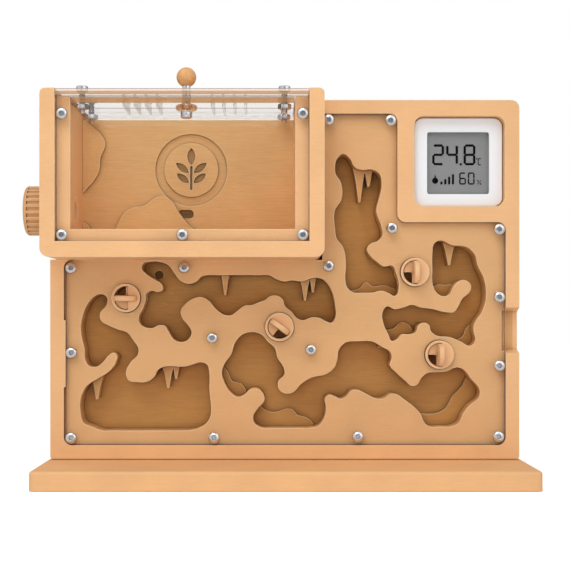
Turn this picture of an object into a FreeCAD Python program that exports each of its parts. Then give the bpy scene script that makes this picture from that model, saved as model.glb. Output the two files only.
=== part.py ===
import FreeCAD
import Part
import math
import os
from FreeCAD import Vector

# Ant habitat: an upright printed nest on a base plate, with a feeding box on its front left.
# Millimetres. +X right, +Y away from the viewer, +Z up. Origin: middle of the base's underside.
# The nest's front plane is y = 0.

# base plate
base_width = 232.0
base_depth = 90.0
base_height = 9.0
base_edge_round = 1.5
base_corner_round = 3.0
tongue_length = 208.0
tongue_width = 12.0
tongue_depth = 3.0

# nest block
nest_width = 228.0
nest_height = 175.0
nest_depth = 26.0
rim = 6.6
rim_corner = 4.0
foot_corner = 2.2
foot_rim = 7.2
cover_thickness = 3.0
cover_recess = 0.2
cover_gap = 0.35
left_gap = 1.0
land_gap = 0.15
land_bottom = 44.4
land_top = 77.0
chamber_depth = 13.8
relief_height = 3.0
spike_depth = 9.0
notch_low = 60.7
notch_high = 83.2
notch_depth = 6.0
notch_slope = 2.1

# feeding box
box_width = 132.2
box_height = 78.4
box_above_nest = 0.8
box_reach = 28.0
back_wall = 9.0
box_arm = 7.0
box_sill = 7.3
window_ledge = 6.5
sill_ledge = 5.9
box_corner = 4.2
arm_round = 2.5
window_thickness = 3.0
window_recess = 2.0
fit_gap = 0.2

# lift-off lid
lid_upper = 3.0
lid_lower = 3.0
lid_below_top = 0.2
lid_clear_back = 1.6
lid_side_gap = 0.3
slit_width = 0.9
slit_length = 26.0
slit_pitch = 5.3
slit_count = 4
slit_group_in = 21.0
lid_bolt_in = 5.0
lid_bolt_y = (-19.0, 11.0)
bolt_past_nut = 2.0
knob_aside = 1.3
knob_y = -17.0
knob_ball_radius = 4.65
knob_ball_flat = 0.5
knob_ball_fit = 0.05
knob_stud_radius = 1.9
knob_stud_room = 0.2
knob_stud_below = 2.6
knob_stud_short = 0.3
knob_stand_off = 2.4
knob_washer_radius = 5.1
knob_washer_height = 2.7
knob_washer_gap = 0.1
knob_washer_round = 1.0
knob_nut_radius = 2.7
knob_nut_height = 3.6
knob_nut_thread = 2.8
knob_nut_edge = 0.3

# M3 hardware
screw_radius = 1.45
hole_radius = 1.7
head_radius = 2.85
head_height = 1.65
head_bevel = 0.8
socket_floor = 0.65
cap_head_radius = 2.75
cap_head_height = 2.4
socket_width = 2.0
nut_flat = 5.5
nut_height = 2.4
nut_edge = 0.35
insert_radius = 2.1
insert_length = 5.0
insert_bore = 1.5
screw_length = 10.0
box_screw_length = 12.0
head_sink = 3.2
head_sink_radius = 3.2

# port on the left wall
port_y = -6.0
port_z = 129.5
port_bore = 4.7
port_tube = 7.0
port_tube_gap = 0.05
port_stand_out = 6.6
port_cap_radius = 11.85
port_cap_length = 10.1
port_cap_dome = 1.7
port_cap_foot = 0.1
port_cap_end_gap = 0.4
port_thread_gap = 0.3
flute_count = 24
flute_radius = 1.0
flute_from_foot = 0.8

# rotary gates
gate_seat_radius = 6.95
gate_seat_gap = 0.3
gate_seat_length = 5.0
gate_bore = 5.75
gate_rotor_radius = 5.45
gate_cover = 1.0
gate_cover_edge = 1.2
gate_disc = 1.5
gate_axial_gap = 0.3
gate_overlap = 0.5
gate_drum_end = 12.7
gate_end_gap = 0.5
gate_channel = 6.6
gate_end_wall = 0.8
gate_bar_width = 2.5
gate_bar_length = 10.8
gate_bar_end_height = 2.4
gate_bar_round = 0.6
gate_bar_aside = 0.3
gate_quarter_corner = 1.1
gate_hub_radius = 1.3
gate_pin_radius = 1.5
gate_pin_length = 2.3
gate_pin_gap = 0.05
tunnel_radius = 3.3
tunnel_forward = 0.5

# climate meter
meter_size = 43.4
meter_depth = 13.0
meter_corner = 4.4
meter_recess = 5.0
meter_gap = 0.3
meter_wall = 1.6
meter_front_round = 0.6
meter_aside = 0.6
meter_window = 30.4
meter_window_corner = 1.2
meter_window_drop = 0.4
meter_screen = 31.8
meter_screen_corner = 0.8
meter_screen_thickness = 2.0
lens_flange = 0.8
lens_flange_thickness = 0.8
lens_gap = 0.1
lens_sink = 0.2
board_thickness = 1.2
board_gap = 0.3
board_corner = 2.0
back_cover_thickness = 1.6
back_cover_gap = 0.1
back_cover_ring = 1.5
meter_rise = 59.3
meter_push_hole = 10.0
coin_radius = 10.0
coin_thickness = 3.2

# relief and passage in the back wall of the feeding box
scene_relief = 2.5
passage_radius = 2.3
passage_y = 20.5
passage_start = (-62.5, 99.5)
slot_length = 7.9
slot_height = 4.4
slot_x = -49.2
slot_z = 129.9
ring_x = -46.5
ring_z = 152.0
ring_outer = 18.0
ring_width = 4.6
ring_sink = 1.4
leaf_sink = 2.4
stem_half = 0.6
stem_corner = 0.5
stem_below = 10.0
stem_above = 2.0
leaf_lean = 38.0
leaf_aside = 1.2
leaf_width = 3.4
side_leaves = ((-6.5, 7.6), (-1.5, 8.2))  # rise from the ring's middle, length
top_leaf = (2.4, 8.6, 4.0)  # rise, length, width

# derived places
nest_left = -nest_width / 2
nest_right = nest_width / 2
nest_bottom = base_height
nest_top = base_height + nest_height
tongue_bottom = nest_bottom - tongue_depth
face_y = cover_recess + cover_thickness
floor_y = face_y + chamber_depth
wall_y = nest_depth - back_wall
pocket_left = nest_left + rim
pocket_right = nest_right - rim
pocket_bottom = nest_bottom + foot_rim
pocket_top = nest_top - rim
box_left = nest_left
box_right = box_left + box_width
box_top = nest_top + box_above_nest
box_bottom = box_top - box_height
block_left = 54.8 * nest_width / 228.0
block_bottom = nest_top - meter_rise
meter_x = (block_left + nest_right) / 2 + meter_aside
meter_z = (block_bottom + nest_top) / 2
window_left = box_left + box_arm
window_right = box_right - box_arm
window_bottom = box_bottom + box_sill
cavity_left = window_left + window_ledge
cavity_right = window_right - window_ledge
cavity_floor = window_bottom + sill_ledge
window_y = -box_reach + window_recess
ledge_y = window_y + window_thickness
lid_top = box_top - lid_below_top
lid_seat = lid_top - lid_upper
lid_low = lid_seat - lid_lower
back_top = lid_low - lid_clear_back
knob_x = (box_left + box_right) / 2 + knob_aside
slit_group_x = ((box_left + box_right) / 2 - slit_group_in, (box_left + box_right) / 2 + slit_group_in)
wide = 3 * nest_width
overlap = 0.1


def sheet(x, z):
    """A point drawn on the 228 x 175 layout of the nest, moved to the nest's own width and height."""
    return (x * nest_width / 228.0, base_height + (z - 9.0) * nest_height / 175.0)


def block(x0, x1, y0, y1, z0, z1):
    return Part.makeBox(x1 - x0, y1 - y0, z1 - z0, Vector(x0, y0, z0))


def rod_x(y, z, radius, x0, x1):
    return Part.makeCylinder(radius, x1 - x0, Vector(x0, y, z), Vector(1, 0, 0))


def rod_y(x, z, radius, y0, y1):
    return Part.makeCylinder(radius, y1 - y0, Vector(x, y0, z), Vector(0, 1, 0))


def rod_z(x, y, radius, z0, z1):
    return Part.makeCylinder(radius, z1 - z0, Vector(x, y, z0), Vector(0, 0, 1))


def fuse_all(solids):
    joined = solids[0].multiFuse(solids[1:]) if len(solids) > 1 else solids[0]
    return joined.removeSplitter()


def rounded_wire(points, radii):
    """Closed wire through the points, each corner rounded to its radius (0 leaves it sharp)."""
    count = len(points)
    starts = []
    ends = []
    arcs = []
    for i in range(count):
        corner = points[i]
        radius = radii[i] if isinstance(radii, (list, tuple)) else radii
        if radius == 0:
            starts.append(corner)
            ends.append(corner)
            arcs.append(None)
            continue
        to_last = (points[i - 1] - corner).normalize()
        to_next = (points[(i + 1) % count] - corner).normalize()
        half = to_last.getAngle(to_next) / 2
        reach = radius / math.tan(half)
        middle = (to_last + to_next).normalize()
        start = corner + to_last * reach
        end = corner + to_next * reach
        starts.append(start)
        ends.append(end)
        arcs.append(Part.Arc(start, corner + middle * (radius / math.sin(half) - radius), end).toShape())
    edges = []
    for i in range(count):
        if arcs[i] is not None:
            edges.append(arcs[i])
        if (starts[(i + 1) % count] - ends[i]).Length > 1e-6:
            edges.append(Part.LineSegment(ends[i], starts[(i + 1) % count]).toShape())
    return Part.Wire(edges)


def slab_y(corners, radii, y0, y1):
    """Plate with a rounded outline in X and Z, from y0 back to y1."""
    wire = rounded_wire([Vector(x, y0, z) for x, z in corners], radii)
    return Part.Face(wire).extrude(Vector(0, y1 - y0, 0))


def slab_z(corners, radii, z0, z1):
    """Plate with a rounded outline in X and Y, from z0 up to z1."""
    wire = rounded_wire([Vector(x, y, z0) for x, y in corners], radii)
    return Part.Face(wire).extrude(Vector(0, 0, z1 - z0))


def rectangle(a0, a1, b0, b1):
    return [(a0, b0), (a1, b0), (a1, b1), (a0, b1)]


def tangent_at(before, point, after):
    """Direction at the middle one of three points, along the circle through them."""
    back = point - before
    ahead = after - point
    return (back * (ahead.Length / back.Length) + ahead * (back.Length / ahead.Length)).normalize()


def tangent_arc(start, direction, end):
    """The arc that leaves start in the direction and ends at end, or a straight line."""
    chord = end - start
    sideways = chord.cross(Vector(0, 1, 0)).normalize()
    turn = math.atan2(direction.dot(sideways), direction.dot(chord.normalize()))
    if abs(turn) < 1e-4:
        return Part.LineSegment(start, end).toShape()
    middle = start + chord / 2 + sideways * (math.tan(turn / 2) * chord.Length / 2)
    return Part.Arc(start, middle, end).toShape()


def arc_pair(start, out, end, into):
    """Two arcs that join smoothly, from start in direction out to end in direction into."""
    chord = end - start
    both = out + into
    spread = 2 * (1 - out.dot(into))
    if spread < 1e-6:
        reach = chord.Length / 2
    else:
        along = chord.dot(both)
        reach = (math.sqrt(along * along + spread * chord.dot(chord)) - along) / spread
    joint = (start + out * reach + end - into * reach) / 2
    return [tangent_arc(start, out, joint), tangent_arc(end, into * -1, joint)]


def smooth_edges(points, closed):
    """Arcs that meet smoothly at each point of an outline in X and Z."""
    count = len(points)
    tangents = []
    for i in range(count):
        before = points[i - 1] if closed or i > 0 else points[0] * 2 - points[1]
        after = points[(i + 1) % count] if closed or i < count - 1 else points[-1] * 2 - points[-2]
        tangents.append(tangent_at(before, points[i], after))
    edges = []
    for i in range(count if closed else count - 1):
        j = (i + 1) % count
        edges += arc_pair(points[i], tangents[i], points[j], tangents[j])
    return edges


def curve_slab(points, y0, y1):
    """Prism whose outline is one smooth closed curve through the points."""
    wire = Part.Wire(smooth_edges([Vector(x, y0, z) for x, z in points], True))
    return Part.Face(wire).extrude(Vector(0, y1 - y0, 0))


def ridge_slab(edge, corners, y0, y1):
    """Prism with one smooth edge through some points, closed by straight lines round the corners."""
    edges = smooth_edges([Vector(x, y0, z) for x, z in edge], False)
    path = [edge[-1]] + corners + [edge[0]]
    for a, b in zip(path, path[1:]):
        edges.append(Part.LineSegment(Vector(a[0], y0, a[1]), Vector(b[0], y0, b[1])).toShape())
    return Part.Face(Part.Wire(edges)).extrude(Vector(0, y1 - y0, 0))


# ---------------------------------------------------------------- chambers, drawn on the nest's sheet
chamber_upper_left = [
    (28.7, 158.3), (31.5, 156.4), (34.8, 151.3), (38.5, 150.5), (42.7, 150.7), (46.2, 148.6), (47.4, 143.3),
    (46.1, 136.5), (44.7, 130.2), (47.1, 123.2), (47.7, 118.4), (45.4, 115.7), (41.4, 114.0), (40.2, 111.5),
    (41.4, 109.1), (45.2, 105.5), (48.5, 103.3), (52.7, 103.6), (54.4, 100.0), (55.8, 93.5), (53.9, 88.8),
    (50.7, 90.2), (47.6, 91.4), (43.1, 90.5), (38.0, 90.4), (33.8, 90.5), (30.7, 92.7), (29.6, 96.3),
    (29.9, 104.1), (28.4, 112.8), (25.2, 117.1), (24.6, 121.5), (24.6, 131.0), (27.6, 135.6), (28.1, 140.8),
    (27.2, 144.8), (24.9, 148.3), (24.6, 152.0), (25.9, 156.4)]
chamber_right = [
    (75.7, 116.0), (81.4, 113.8), (89.5, 112.5), (92.8, 109.2), (94.3, 103.6), (97.1, 98.0), (98.3, 92.3),
    (98.2, 86.8), (96.3, 81.0), (92.4, 74.6), (92.3, 71.4), (93.1, 67.2), (90.8, 64.5), (86.2, 66.4),
    (80.6, 68.7), (73.8, 69.6), (71.3, 71.8), (70.6, 74.4), (68.4, 75.7), (65.6, 74.8), (63.7, 70.9),
    (60.9, 70.1), (57.2, 70.0), (54.6, 67.5), (52.5, 66.8), (50.6, 70.0), (48.4, 74.8), (48.2, 82.0),
    (49.9, 83.7), (53.7, 82.4), (58.1, 83.2), (62.0, 84.5), (66.6, 83.2), (72.2, 82.5), (78.7, 80.9),
    (82.9, 81.1), (84.9, 84.1), (86.8, 87.6), (90.0, 90.4), (91.0, 93.5), (89.0, 96.2), (85.7, 96.4),
    (82.7, 93.9), (79.6, 89.0), (76.6, 88.8), (73.9, 90.7), (72.3, 94.4), (72.1, 102.0), (72.1, 109.4),
    (73.1, 114.5)]
chamber_lower_right = [
    (-14.8, 71.2), (-11.0, 69.7), (-8.3, 66.6), (-4.8, 63.4), (-3.6, 58.8), (-0.5, 53.8), (-0.1, 50.6),
    (-3.3, 46.7), (-2.9, 43.4), (1.1, 41.1), (4.2, 41.8), (7.7, 45.6), (13.2, 49.0), (20.4, 50.7),
    (24.3, 54.1), (25.7, 58.0), (26.4, 62.4), (29.5, 66.0), (35.7, 66.7), (43.1, 66.5), (47.8, 63.8),
    (51.6, 61.5), (52.3, 58.6), (51.4, 55.0), (54.6, 51.3), (59.1, 47.2), (62.0, 44.9), (64.4, 45.3),
    (66.6, 48.6), (69.7, 51.2), (74.0, 51.6), (78.7, 51.9), (84.3, 54.0), (87.3, 53.0), (91.0, 48.4),
    (95.3, 42.6), (95.0, 39.7), (90.2, 35.4), (86.9, 31.0), (85.2, 27.1), (81.9, 25.2), (76.0, 25.0),
    (70.3, 25.2), (67.8, 27.6), (66.5, 30.9), (63.5, 34.3), (58.1, 38.5), (55.0, 40.7), (51.7, 41.0),
    (48.6, 39.0), (45.1, 38.6), (40.4, 40.7), (35.7, 42.9), (32.8, 42.8), (30.1, 39.9), (27.4, 38.6),
    (24.5, 39.7), (21.7, 40.5), (19.8, 39.0), (20.2, 34.6), (19.2, 29.0), (16.3, 25.4), (12.6, 24.5),
    (7.0, 24.4), (-6.0, 24.4), (-11.6, 24.6), (-14.9, 26.9), (-15.4, 30.0), (-13.4, 33.7), (-9.8, 38.4),
    (-10.8, 41.5), (-13.9, 43.8), (-16.8, 43.3), (-19.5, 40.8), (-22.7, 39.5), (-26.0, 41.3),
    (-29.6, 46.8), (-30.8, 51.3), (-29.6, 55.4), (-26.1, 60.3), (-24.4, 65.7), (-21.0, 69.7)]
chamber_lower_left = [
    (-89.1, 89.7), (-86.8, 88.1), (-87.0, 84.4), (-90.2, 80.3), (-89.8, 77.0), (-85.9, 74.4), (-81.2, 72.4),
    (-76.9, 71.0), (-74.2, 67.5), (-71.4, 62.9), (-71.8, 60.0), (-75.0, 56.8), (-77.5, 50.4), (-76.2, 47.6),
    (-72.5, 46.8), (-66.8, 47.1), (-64.0, 49.1), (-61.8, 52.9), (-58.8, 54.3), (-48.3, 54.4), (-44.8, 55.4),
    (-40.7, 56.4), (-37.9, 55.3), (-36.9, 52.0), (-36.8, 43.5), (-36.0, 35.2), (-36.0, 31.1), (-38.6, 26.3),
    (-43.5, 23.7), (-51.0, 23.1), (-56.0, 23.1), (-84.0, 23.1), (-89.7, 23.2), (-93.7, 24.8), (-98.6, 27.2),
    (-99.5, 30.5), (-99.3, 40.1), (-96.7, 44.9), (-90.8, 48.7), (-85.3, 52.5), (-82.3, 57.0), (-82.0, 60.0),
    (-83.6, 61.1), (-85.9, 59.9), (-88.7, 56.5), (-92.1, 54.2), (-95.5, 54.6), (-97.5, 57.9), (-97.8, 62.7),
    (-99.2, 68.8), (-99.6, 73.6), (-98.5, 79.8), (-95.6, 86.0), (-92.3, 89.1)]
chamber_middle = [
    (-69.3, 104.5), (-65.4, 105.7), (-60.6, 105.5), (-56.6, 103.7), (-53.8, 99.9), (-50.8, 96.2),
    (-46.4, 94.8), (-43.2, 95.9), (-40.8, 98.3), (-37.8, 99.1), (-33.0, 99.1), (-13.0, 99.1), (-7.5, 99.0),
    (-3.6, 96.9), (0.1, 95.9), (3.2, 96.5), (8.6, 96.0), (14.2, 97.8), (17.9, 97.4), (21.5, 94.2),
    (23.6, 89.8), (24.7, 84.1), (24.6, 77.9), (22.9, 75.8), (20.3, 76.4), (17.0, 78.1), (13.2, 78.4),
    (8.6, 77.0), (6.1, 77.9), (3.3, 81.1), (0.0, 84.0), (-0.9, 87.0), (-3.0, 88.7), (-7.0, 88.8),
    (-9.7, 86.8), (-12.9, 85.7), (-16.0, 84.4), (-19.4, 84.2), (-23.2, 81.4), (-26.4, 79.4), (-29.8, 79.7),
    (-34.3, 83.2), (-37.4, 86.8), (-40.6, 88.3), (-44.2, 87.7), (-48.3, 85.1), (-50.8, 81.4), (-50.1, 78.2),
    (-46.9, 74.3), (-45.4, 70.9), (-47.1, 67.6), (-50.9, 66.3), (-54.3, 67.7), (-56.8, 71.6), (-58.9, 74.4),
    (-61.3, 74.6), (-64.8, 73.1), (-68.1, 73.5), (-71.0, 75.7), (-71.3, 78.6), (-69.2, 82.8), (-68.0, 86.7),
    (-67.7, 89.9), (-65.4, 91.4), (-61.4, 90.8), (-59.6, 92.2), (-60.2, 94.7), (-63.5, 96.9), (-67.5, 99.5),
    (-69.8, 102.3)]

# raised rock layers on the chamber floors: a smooth edge, then corners past the chamber's wall
rock_layers = [
    ([(29.0, 90.0), (32.3, 91.3), (37.6, 93.0), (40.5, 95.9), (43.4, 93.9), (49.6, 94.3), (53.4, 93.0),
      (57.5, 91.2)], [(57.5, 86.0), (29.0, 86.0)]),
    ([(70.2, 90.3), (73.1, 92.7), (75.6, 94.6), (80.1, 94.5), (83.5, 95.2)], [(84.5, 85.5), (70.2, 85.5)]),
    ([(46.5, 70.8), (49.7, 71.9), (54.2, 73.0), (58.4, 76.1), (61.5, 74.9), (64.6, 70.0)],
     [(64.6, 63.0), (46.5, 63.0)]),
    ([(92.8, 75.4), (90.0, 72.6), (88.8, 69.3), (85.9, 67.4), (83.6, 66.8)], [(83.6, 61.0), (96.0, 61.0)]),
    ([(-32.0, 55.2), (-28.5, 52.0), (-26.0, 46.8), (-21.3, 45.3), (-19.2, 42.2), (-18.6, 39.0)],
     [(-18.6, 36.0), (-34.0, 36.0)]),
    ([(-13.5, 37.2), (-11.2, 33.6), (-6.4, 31.3), (3.9, 32.7), (6.5, 29.9), (10.9, 28.6), (14.2, 25.5),
      (14.6, 23.0)], [(14.6, 20.0), (-20.0, 20.0), (-20.0, 37.2)]),
    ([(91.6, 50.4), (89.7, 47.4), (88.4, 44.6), (83.4, 39.2), (79.6, 32.8), (75.6, 30.8), (64.5, 31.0)],
     [(64.5, 21.0), (100.0, 21.0), (100.0, 50.4)])]

# rock layers on the feeding box's back wall, on the same sheet
cliff_line = [(-95.5, 173.4), (-89.1, 165.0), (-91.6, 158.1), (-92.3, 151.2)]
cliff_foot = 140.3
hill_from = -85.0
hill_line = [(-83.2, 124.0), (-79.7, 130.4), (-75.8, 132.9), (-69.9, 133.9), (-64.0, 138.0), (-60.2, 138.9),
             (-56.1, 136.4), (-53.1, 131.4), (-49.1, 126.0)]
hill_to = -42.6
mound_top = 125.6
mound_line = [(-98.4, 125.0), (-96.9, 122.9)]
mound_to = -96.2

# hanging spikes: x, ceiling, tip, width at the root
spikes = [
    (36.8, 152.5, 135.0, 6.4), (41.3, 152.5, 142.7, 5.4), (81.0, 115.5, 104.0, 6.2),
    (-92.3, 50.5, 38.1, 6.4), (-57.3, 56.0, 43.6, 6.4), (-53.4, 56.0, 48.2, 4.2),
    (-29.2, 100.6, 89.4, 4.6), (10.0, 98.0, 86.6, 5.2), (13.9, 99.3, 90.7, 4.2)]
spike_tip = 0.9

# cover screws: three columns at the rims, the rest on the sheet
rim_inset = 3.2
corner_inset = 3.6
left_inset = 3.8
under_box_inset = 4.1
low_right_inset = 4.2
block_inset_x = 2.7
block_inset_z = 3.0
beside_box_inset = 3.1
block_top_inset = 3.4
cover_screws_at = [
    (pocket_left + corner_inset, box_bottom - under_box_inset),
    (pocket_left + corner_inset, pocket_bottom + corner_inset),
    (pocket_left + left_inset, sheet(0, 61.1)[1]),
    (pocket_right - rim_inset, block_bottom - corner_inset),
    (pocket_right - rim_inset, sheet(0, 88.2)[1]),
    (pocket_right - rim_inset, sheet(0, 54.8)[1]),
    (pocket_right - corner_inset, pocket_bottom + low_right_inset),
    (block_left - block_top_inset, pocket_top - block_top_inset),
    (block_left - block_inset_x, block_bottom - block_inset_z),
    (box_right + beside_box_inset, pocket_top - beside_box_inset),
    (box_right + beside_box_inset, box_bottom - beside_box_inset),
    sheet(-48.9, 102.6), sheet(35.5, 20.3), sheet(-34.4, 19.8), sheet(-35.3, 68.3), sheet(12.7, 62.5)]

window_screw_in = 3.0
window_screw_drop = 8.5
window_screws_at = [
    (window_left + window_screw_in, lid_seat - window_screw_drop),
    (window_right - window_screw_in, lid_seat - window_screw_drop),
    (window_left + window_screw_in, window_bottom + window_screw_in),
    ((window_left + window_right) / 2, window_bottom + window_screw_in),
    (window_right - window_screw_in, window_bottom + window_screw_in)]

# screws through the nest's back wall into the feeding box
side_screw_in = 6.75
side_screw_up = 8.0
side_screw_drop = 18.0
side_screw_low = cavity_floor + side_screw_up
side_screw_high = box_top - side_screw_drop
sill_screw_in = 12.0
sill_screw_up = 6.6
box_screws_at = [
    (box_left + side_screw_in, side_screw_low), (box_left + side_screw_in, side_screw_high),
    (box_right - side_screw_in, side_screw_low), (box_right - side_screw_in, side_screw_high),
    (cavity_left + sill_screw_in, box_bottom + sill_screw_up),
    (cavity_right - sill_screw_in, box_bottom + sill_screw_up)]

base_screw_y = nest_depth / 2
base_screws_at = [share * tongue_length for share in (-0.43, -0.15, 0.15, 0.43)]

# gates: centre on the sheet, where the two tunnels end, angle of the bar, angle of the seat's half cover
gates = [
    ((-77.3, 87.8), ((-88.6, 86.9), (-66.0, 88.6)), 0.0, 0.0),
    ((-2.6, 73.7), ((-9.9, 63.6), (4.8, 84.0)), 144.0, 54.0),
    ((63.4, 100.4), ((52.4, 97.2), (73.6, 102.0)), 90.0, 0.0),
    ((75.3, 60.2), ((75.6, 72.0), (75.2, 49.4)), 90.0, 0.0)]


# ---------------------------------------------------------------- fasteners
def button_screw_y(x, z, seat, length):
    """Button-head screw: the head stands in front of the seat plane, the shank runs back."""
    head = rod_y(x, z, head_radius, seat - head_height, seat)
    rim_edges = [e for e in head.Edges if abs(e.BoundBox.YMin - (seat - head_height)) < 1e-6
                 and e.BoundBox.YLength < 1e-6]
    head = head.makeChamfer(head_bevel, rim_edges)
    screw = head.fuse(rod_y(x, z, screw_radius, seat - overlap, seat + length))
    return screw.cut(hex_rod_y(x, z, socket_width / 2, seat - head_height - 1, seat - socket_floor))


def hexagon(a, b, half_flat):
    reach = half_flat / math.cos(math.pi / 6)
    angles = [k * math.pi / 3 for k in range(6)]
    return [(a + reach * math.cos(angle), b + reach * math.sin(angle)) for angle in angles]


def hex_rod_y(x, z, half_flat, y0, y1):
    return slab_y(hexagon(x, z, half_flat), 0, y0, y1)


def hex_rod_z(x, y, half_flat, z0, z1):
    return slab_z(hexagon(x, y, half_flat), 0, z0, z1)


def insert_y(x, z, front):
    return rod_y(x, z, insert_radius, front, front + insert_length).cut(
        rod_y(x, z, insert_bore, front - 1, front + insert_length + 1))


def insert_hole_y(x, z, front, depth):
    """Blind hole for a threaded insert, with room for the screw's end behind it."""
    return rod_y(x, z, insert_radius, front - 1, front + insert_length).fuse(
        rod_y(x, z, hole_radius, front, front + depth))


def cover_screws():
    return [button_screw_y(x, z, cover_recess, screw_length) for x, z in cover_screws_at]


def cover_inserts():
    return [insert_y(x, z, face_y) for x, z in cover_screws_at]


def window_screws():
    return [button_screw_y(x, z, window_y, screw_length) for x, z in window_screws_at]


def window_inserts():
    return [insert_y(x, z, ledge_y) for x, z in window_screws_at]


def flip_y(shape, y):
    return shape.mirror(Vector(0, y, 0), Vector(0, 1, 0))


def box_screws():
    seat = nest_depth - head_sink
    return [flip_y(button_screw_y(x, z, seat, box_screw_length), seat) for x, z in box_screws_at]


def box_inserts():
    return [insert_y(x, z, wall_y - insert_length) for x, z in box_screws_at]


def base_screws():
    screws = []
    for x in base_screws_at:
        head = rod_z(x, base_screw_y, head_radius, head_sink - head_height, head_sink)
        shank = rod_z(x, base_screw_y, screw_radius, head_sink - overlap, tongue_bottom + insert_length)
        socket = hex_rod_z(x, base_screw_y, socket_width / 2, 0, head_sink - socket_floor)
        screws.append(head.fuse(shank).cut(socket))
    return screws


def base_inserts():
    inserts = []
    for x in base_screws_at:
        sleeve = rod_z(x, base_screw_y, insert_radius, tongue_bottom, tongue_bottom + insert_length)
        inserts.append(sleeve.cut(rod_z(x, base_screw_y, insert_bore, 0, nest_top)))
    return inserts


# ---------------------------------------------------------------- base plate
def base_plate():
    corners = rectangle(-base_width / 2, base_width / 2, -base_depth / 2, base_depth / 2)
    plate = slab_z(corners, base_corner_round, 0, base_height)
    top_edges = [e for e in plate.Edges if e.BoundBox.ZMin > base_height - 1e-6]
    plate = plate.makeFillet(base_edge_round, top_edges)
    half = tongue_length / 2 + fit_gap
    low = base_screw_y - tongue_width / 2 - fit_gap
    high = base_screw_y + tongue_width / 2 + fit_gap
    plate = plate.cut(block(-half, half, low, high, tongue_bottom, base_height + 1))
    for x in base_screws_at:
        plate = plate.cut(rod_z(x, base_screw_y, hole_radius, -1, base_height))
        plate = plate.cut(rod_z(x, base_screw_y, head_sink_radius, -1, head_sink))
    return plate


# ---------------------------------------------------------------- nest block
def nest_outline():
    corners = rectangle(nest_left, nest_right, nest_bottom, nest_top)
    return slab_y(corners, [foot_corner, foot_corner, rim_corner, rim_corner], 0, nest_depth)


def cover_outline(gap, y0, y1, left_room):
    """The L-shaped pocket in the nest's front, shrunk by a gap all round."""
    left = pocket_left + left_room
    right = pocket_right - gap
    bottom = pocket_bottom + gap
    corners = [
        (left, bottom), (right, bottom), (right, block_bottom - gap), (block_left - gap, block_bottom - gap),
        (block_left - gap, pocket_top - gap), (box_right + fit_gap + gap, pocket_top - gap),
        (box_right + fit_gap + gap, box_bottom - gap), (left, box_bottom - gap)]
    round_in = rim_corner - gap
    radii = [round_in, round_in, round_in, rim_corner + gap, round_in, 0, 0, round_in]
    return slab_y(corners, radii, y0, y1)


def chamber_hollow(outline, bodies):
    """A chamber's air space: its outline, less the rock layers and spikes that reach into it."""
    space = curve_slab([sheet(x, z) for x, z in outline], face_y - 1, floor_y)
    for body in bodies:
        if body.BoundBox.intersect(space.BoundBox):
            space = space.cut(body)
    return space


def rock_bodies():
    bodies = []
    for edge, corners in rock_layers:
        low = floor_y - relief_height
        bodies.append(ridge_slab([sheet(*p) for p in edge], [sheet(*p) for p in corners], low, floor_y + 1))
    for x, root, tip, width in spikes:
        drop = root - tip
        half = width / 2
        outline = [(x - half, root), (x - 0.28 * width, root - 0.4 * drop), (x - spike_tip / 2, tip),
                   (x + spike_tip / 2, tip), (x + 0.28 * width, root - 0.4 * drop), (x + half, root)]
        bodies.append(slab_y([sheet(*p) for p in outline], 0, floor_y - spike_depth, floor_y + 1))
    return bodies


def gate_bores(centre, ends):
    x, z = sheet(*centre)
    drum_floor = gate_drum_end + gate_end_gap
    tools = [
        rod_y(x, z, gate_seat_radius + gate_seat_gap, face_y - 1, cover_recess + gate_seat_length),
        rod_y(x, z, gate_bore, face_y, drum_floor),
        rod_y(x, z, gate_pin_radius + gate_pin_gap, drum_floor - 1, drum_floor + gate_pin_length)]
    tunnel_y = (cover_recess + gate_seat_length + drum_floor) / 2 - tunnel_forward
    for end in ends:
        ex, ez = sheet(*end)
        run = Vector(ex - x, 0, ez - z)
        tools.append(Part.makeCylinder(tunnel_radius, run.Length, Vector(x, tunnel_y, z), run))
    return tools


def finger_notch():
    corners = [(notch_high, -1), (notch_high, 0), (notch_high - notch_slope, notch_depth),
               (notch_low + notch_slope, notch_depth), (notch_low, 0), (notch_low, -1)]
    points = [Vector(pocket_right - cover_gap - 1, y, z) for z, y in corners]
    return Part.Face(Part.makePolygon(points + points[:1])).extrude(Vector(rim + 5, 0, 0))


def meter_pocket():
    half = meter_size / 2 + meter_gap
    corners = rectangle(meter_x - half, meter_x + half, meter_z - half, meter_z + half)
    pocket = slab_y(corners, meter_corner + meter_gap, -1, meter_recess + meter_depth + meter_gap)
    return pocket.fuse(rod_y(meter_x, meter_z, meter_push_hole, 0, nest_depth + 1))


def leaf(x, z, angle, length, width):
    """Pointed leaf between two arcs, its stalk end at x, z."""
    turn = FreeCAD.Rotation(Vector(0, 1, 0), -angle)
    stalk = Vector(0, 0, 0)
    tip = Vector(length, 0, 0)
    upper = Part.Arc(stalk, Vector(length / 2, 0, width / 2), tip).toShape()
    lower = Part.Arc(tip, Vector(length / 2, 0, -width / 2), stalk).toShape()
    blade = Part.Face(Part.Wire([upper, lower])).extrude(Vector(0, leaf_sink + 1, 0))
    blade.Placement = FreeCAD.Placement(Vector(x, wall_y - 1, z), turn)
    return blade


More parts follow.
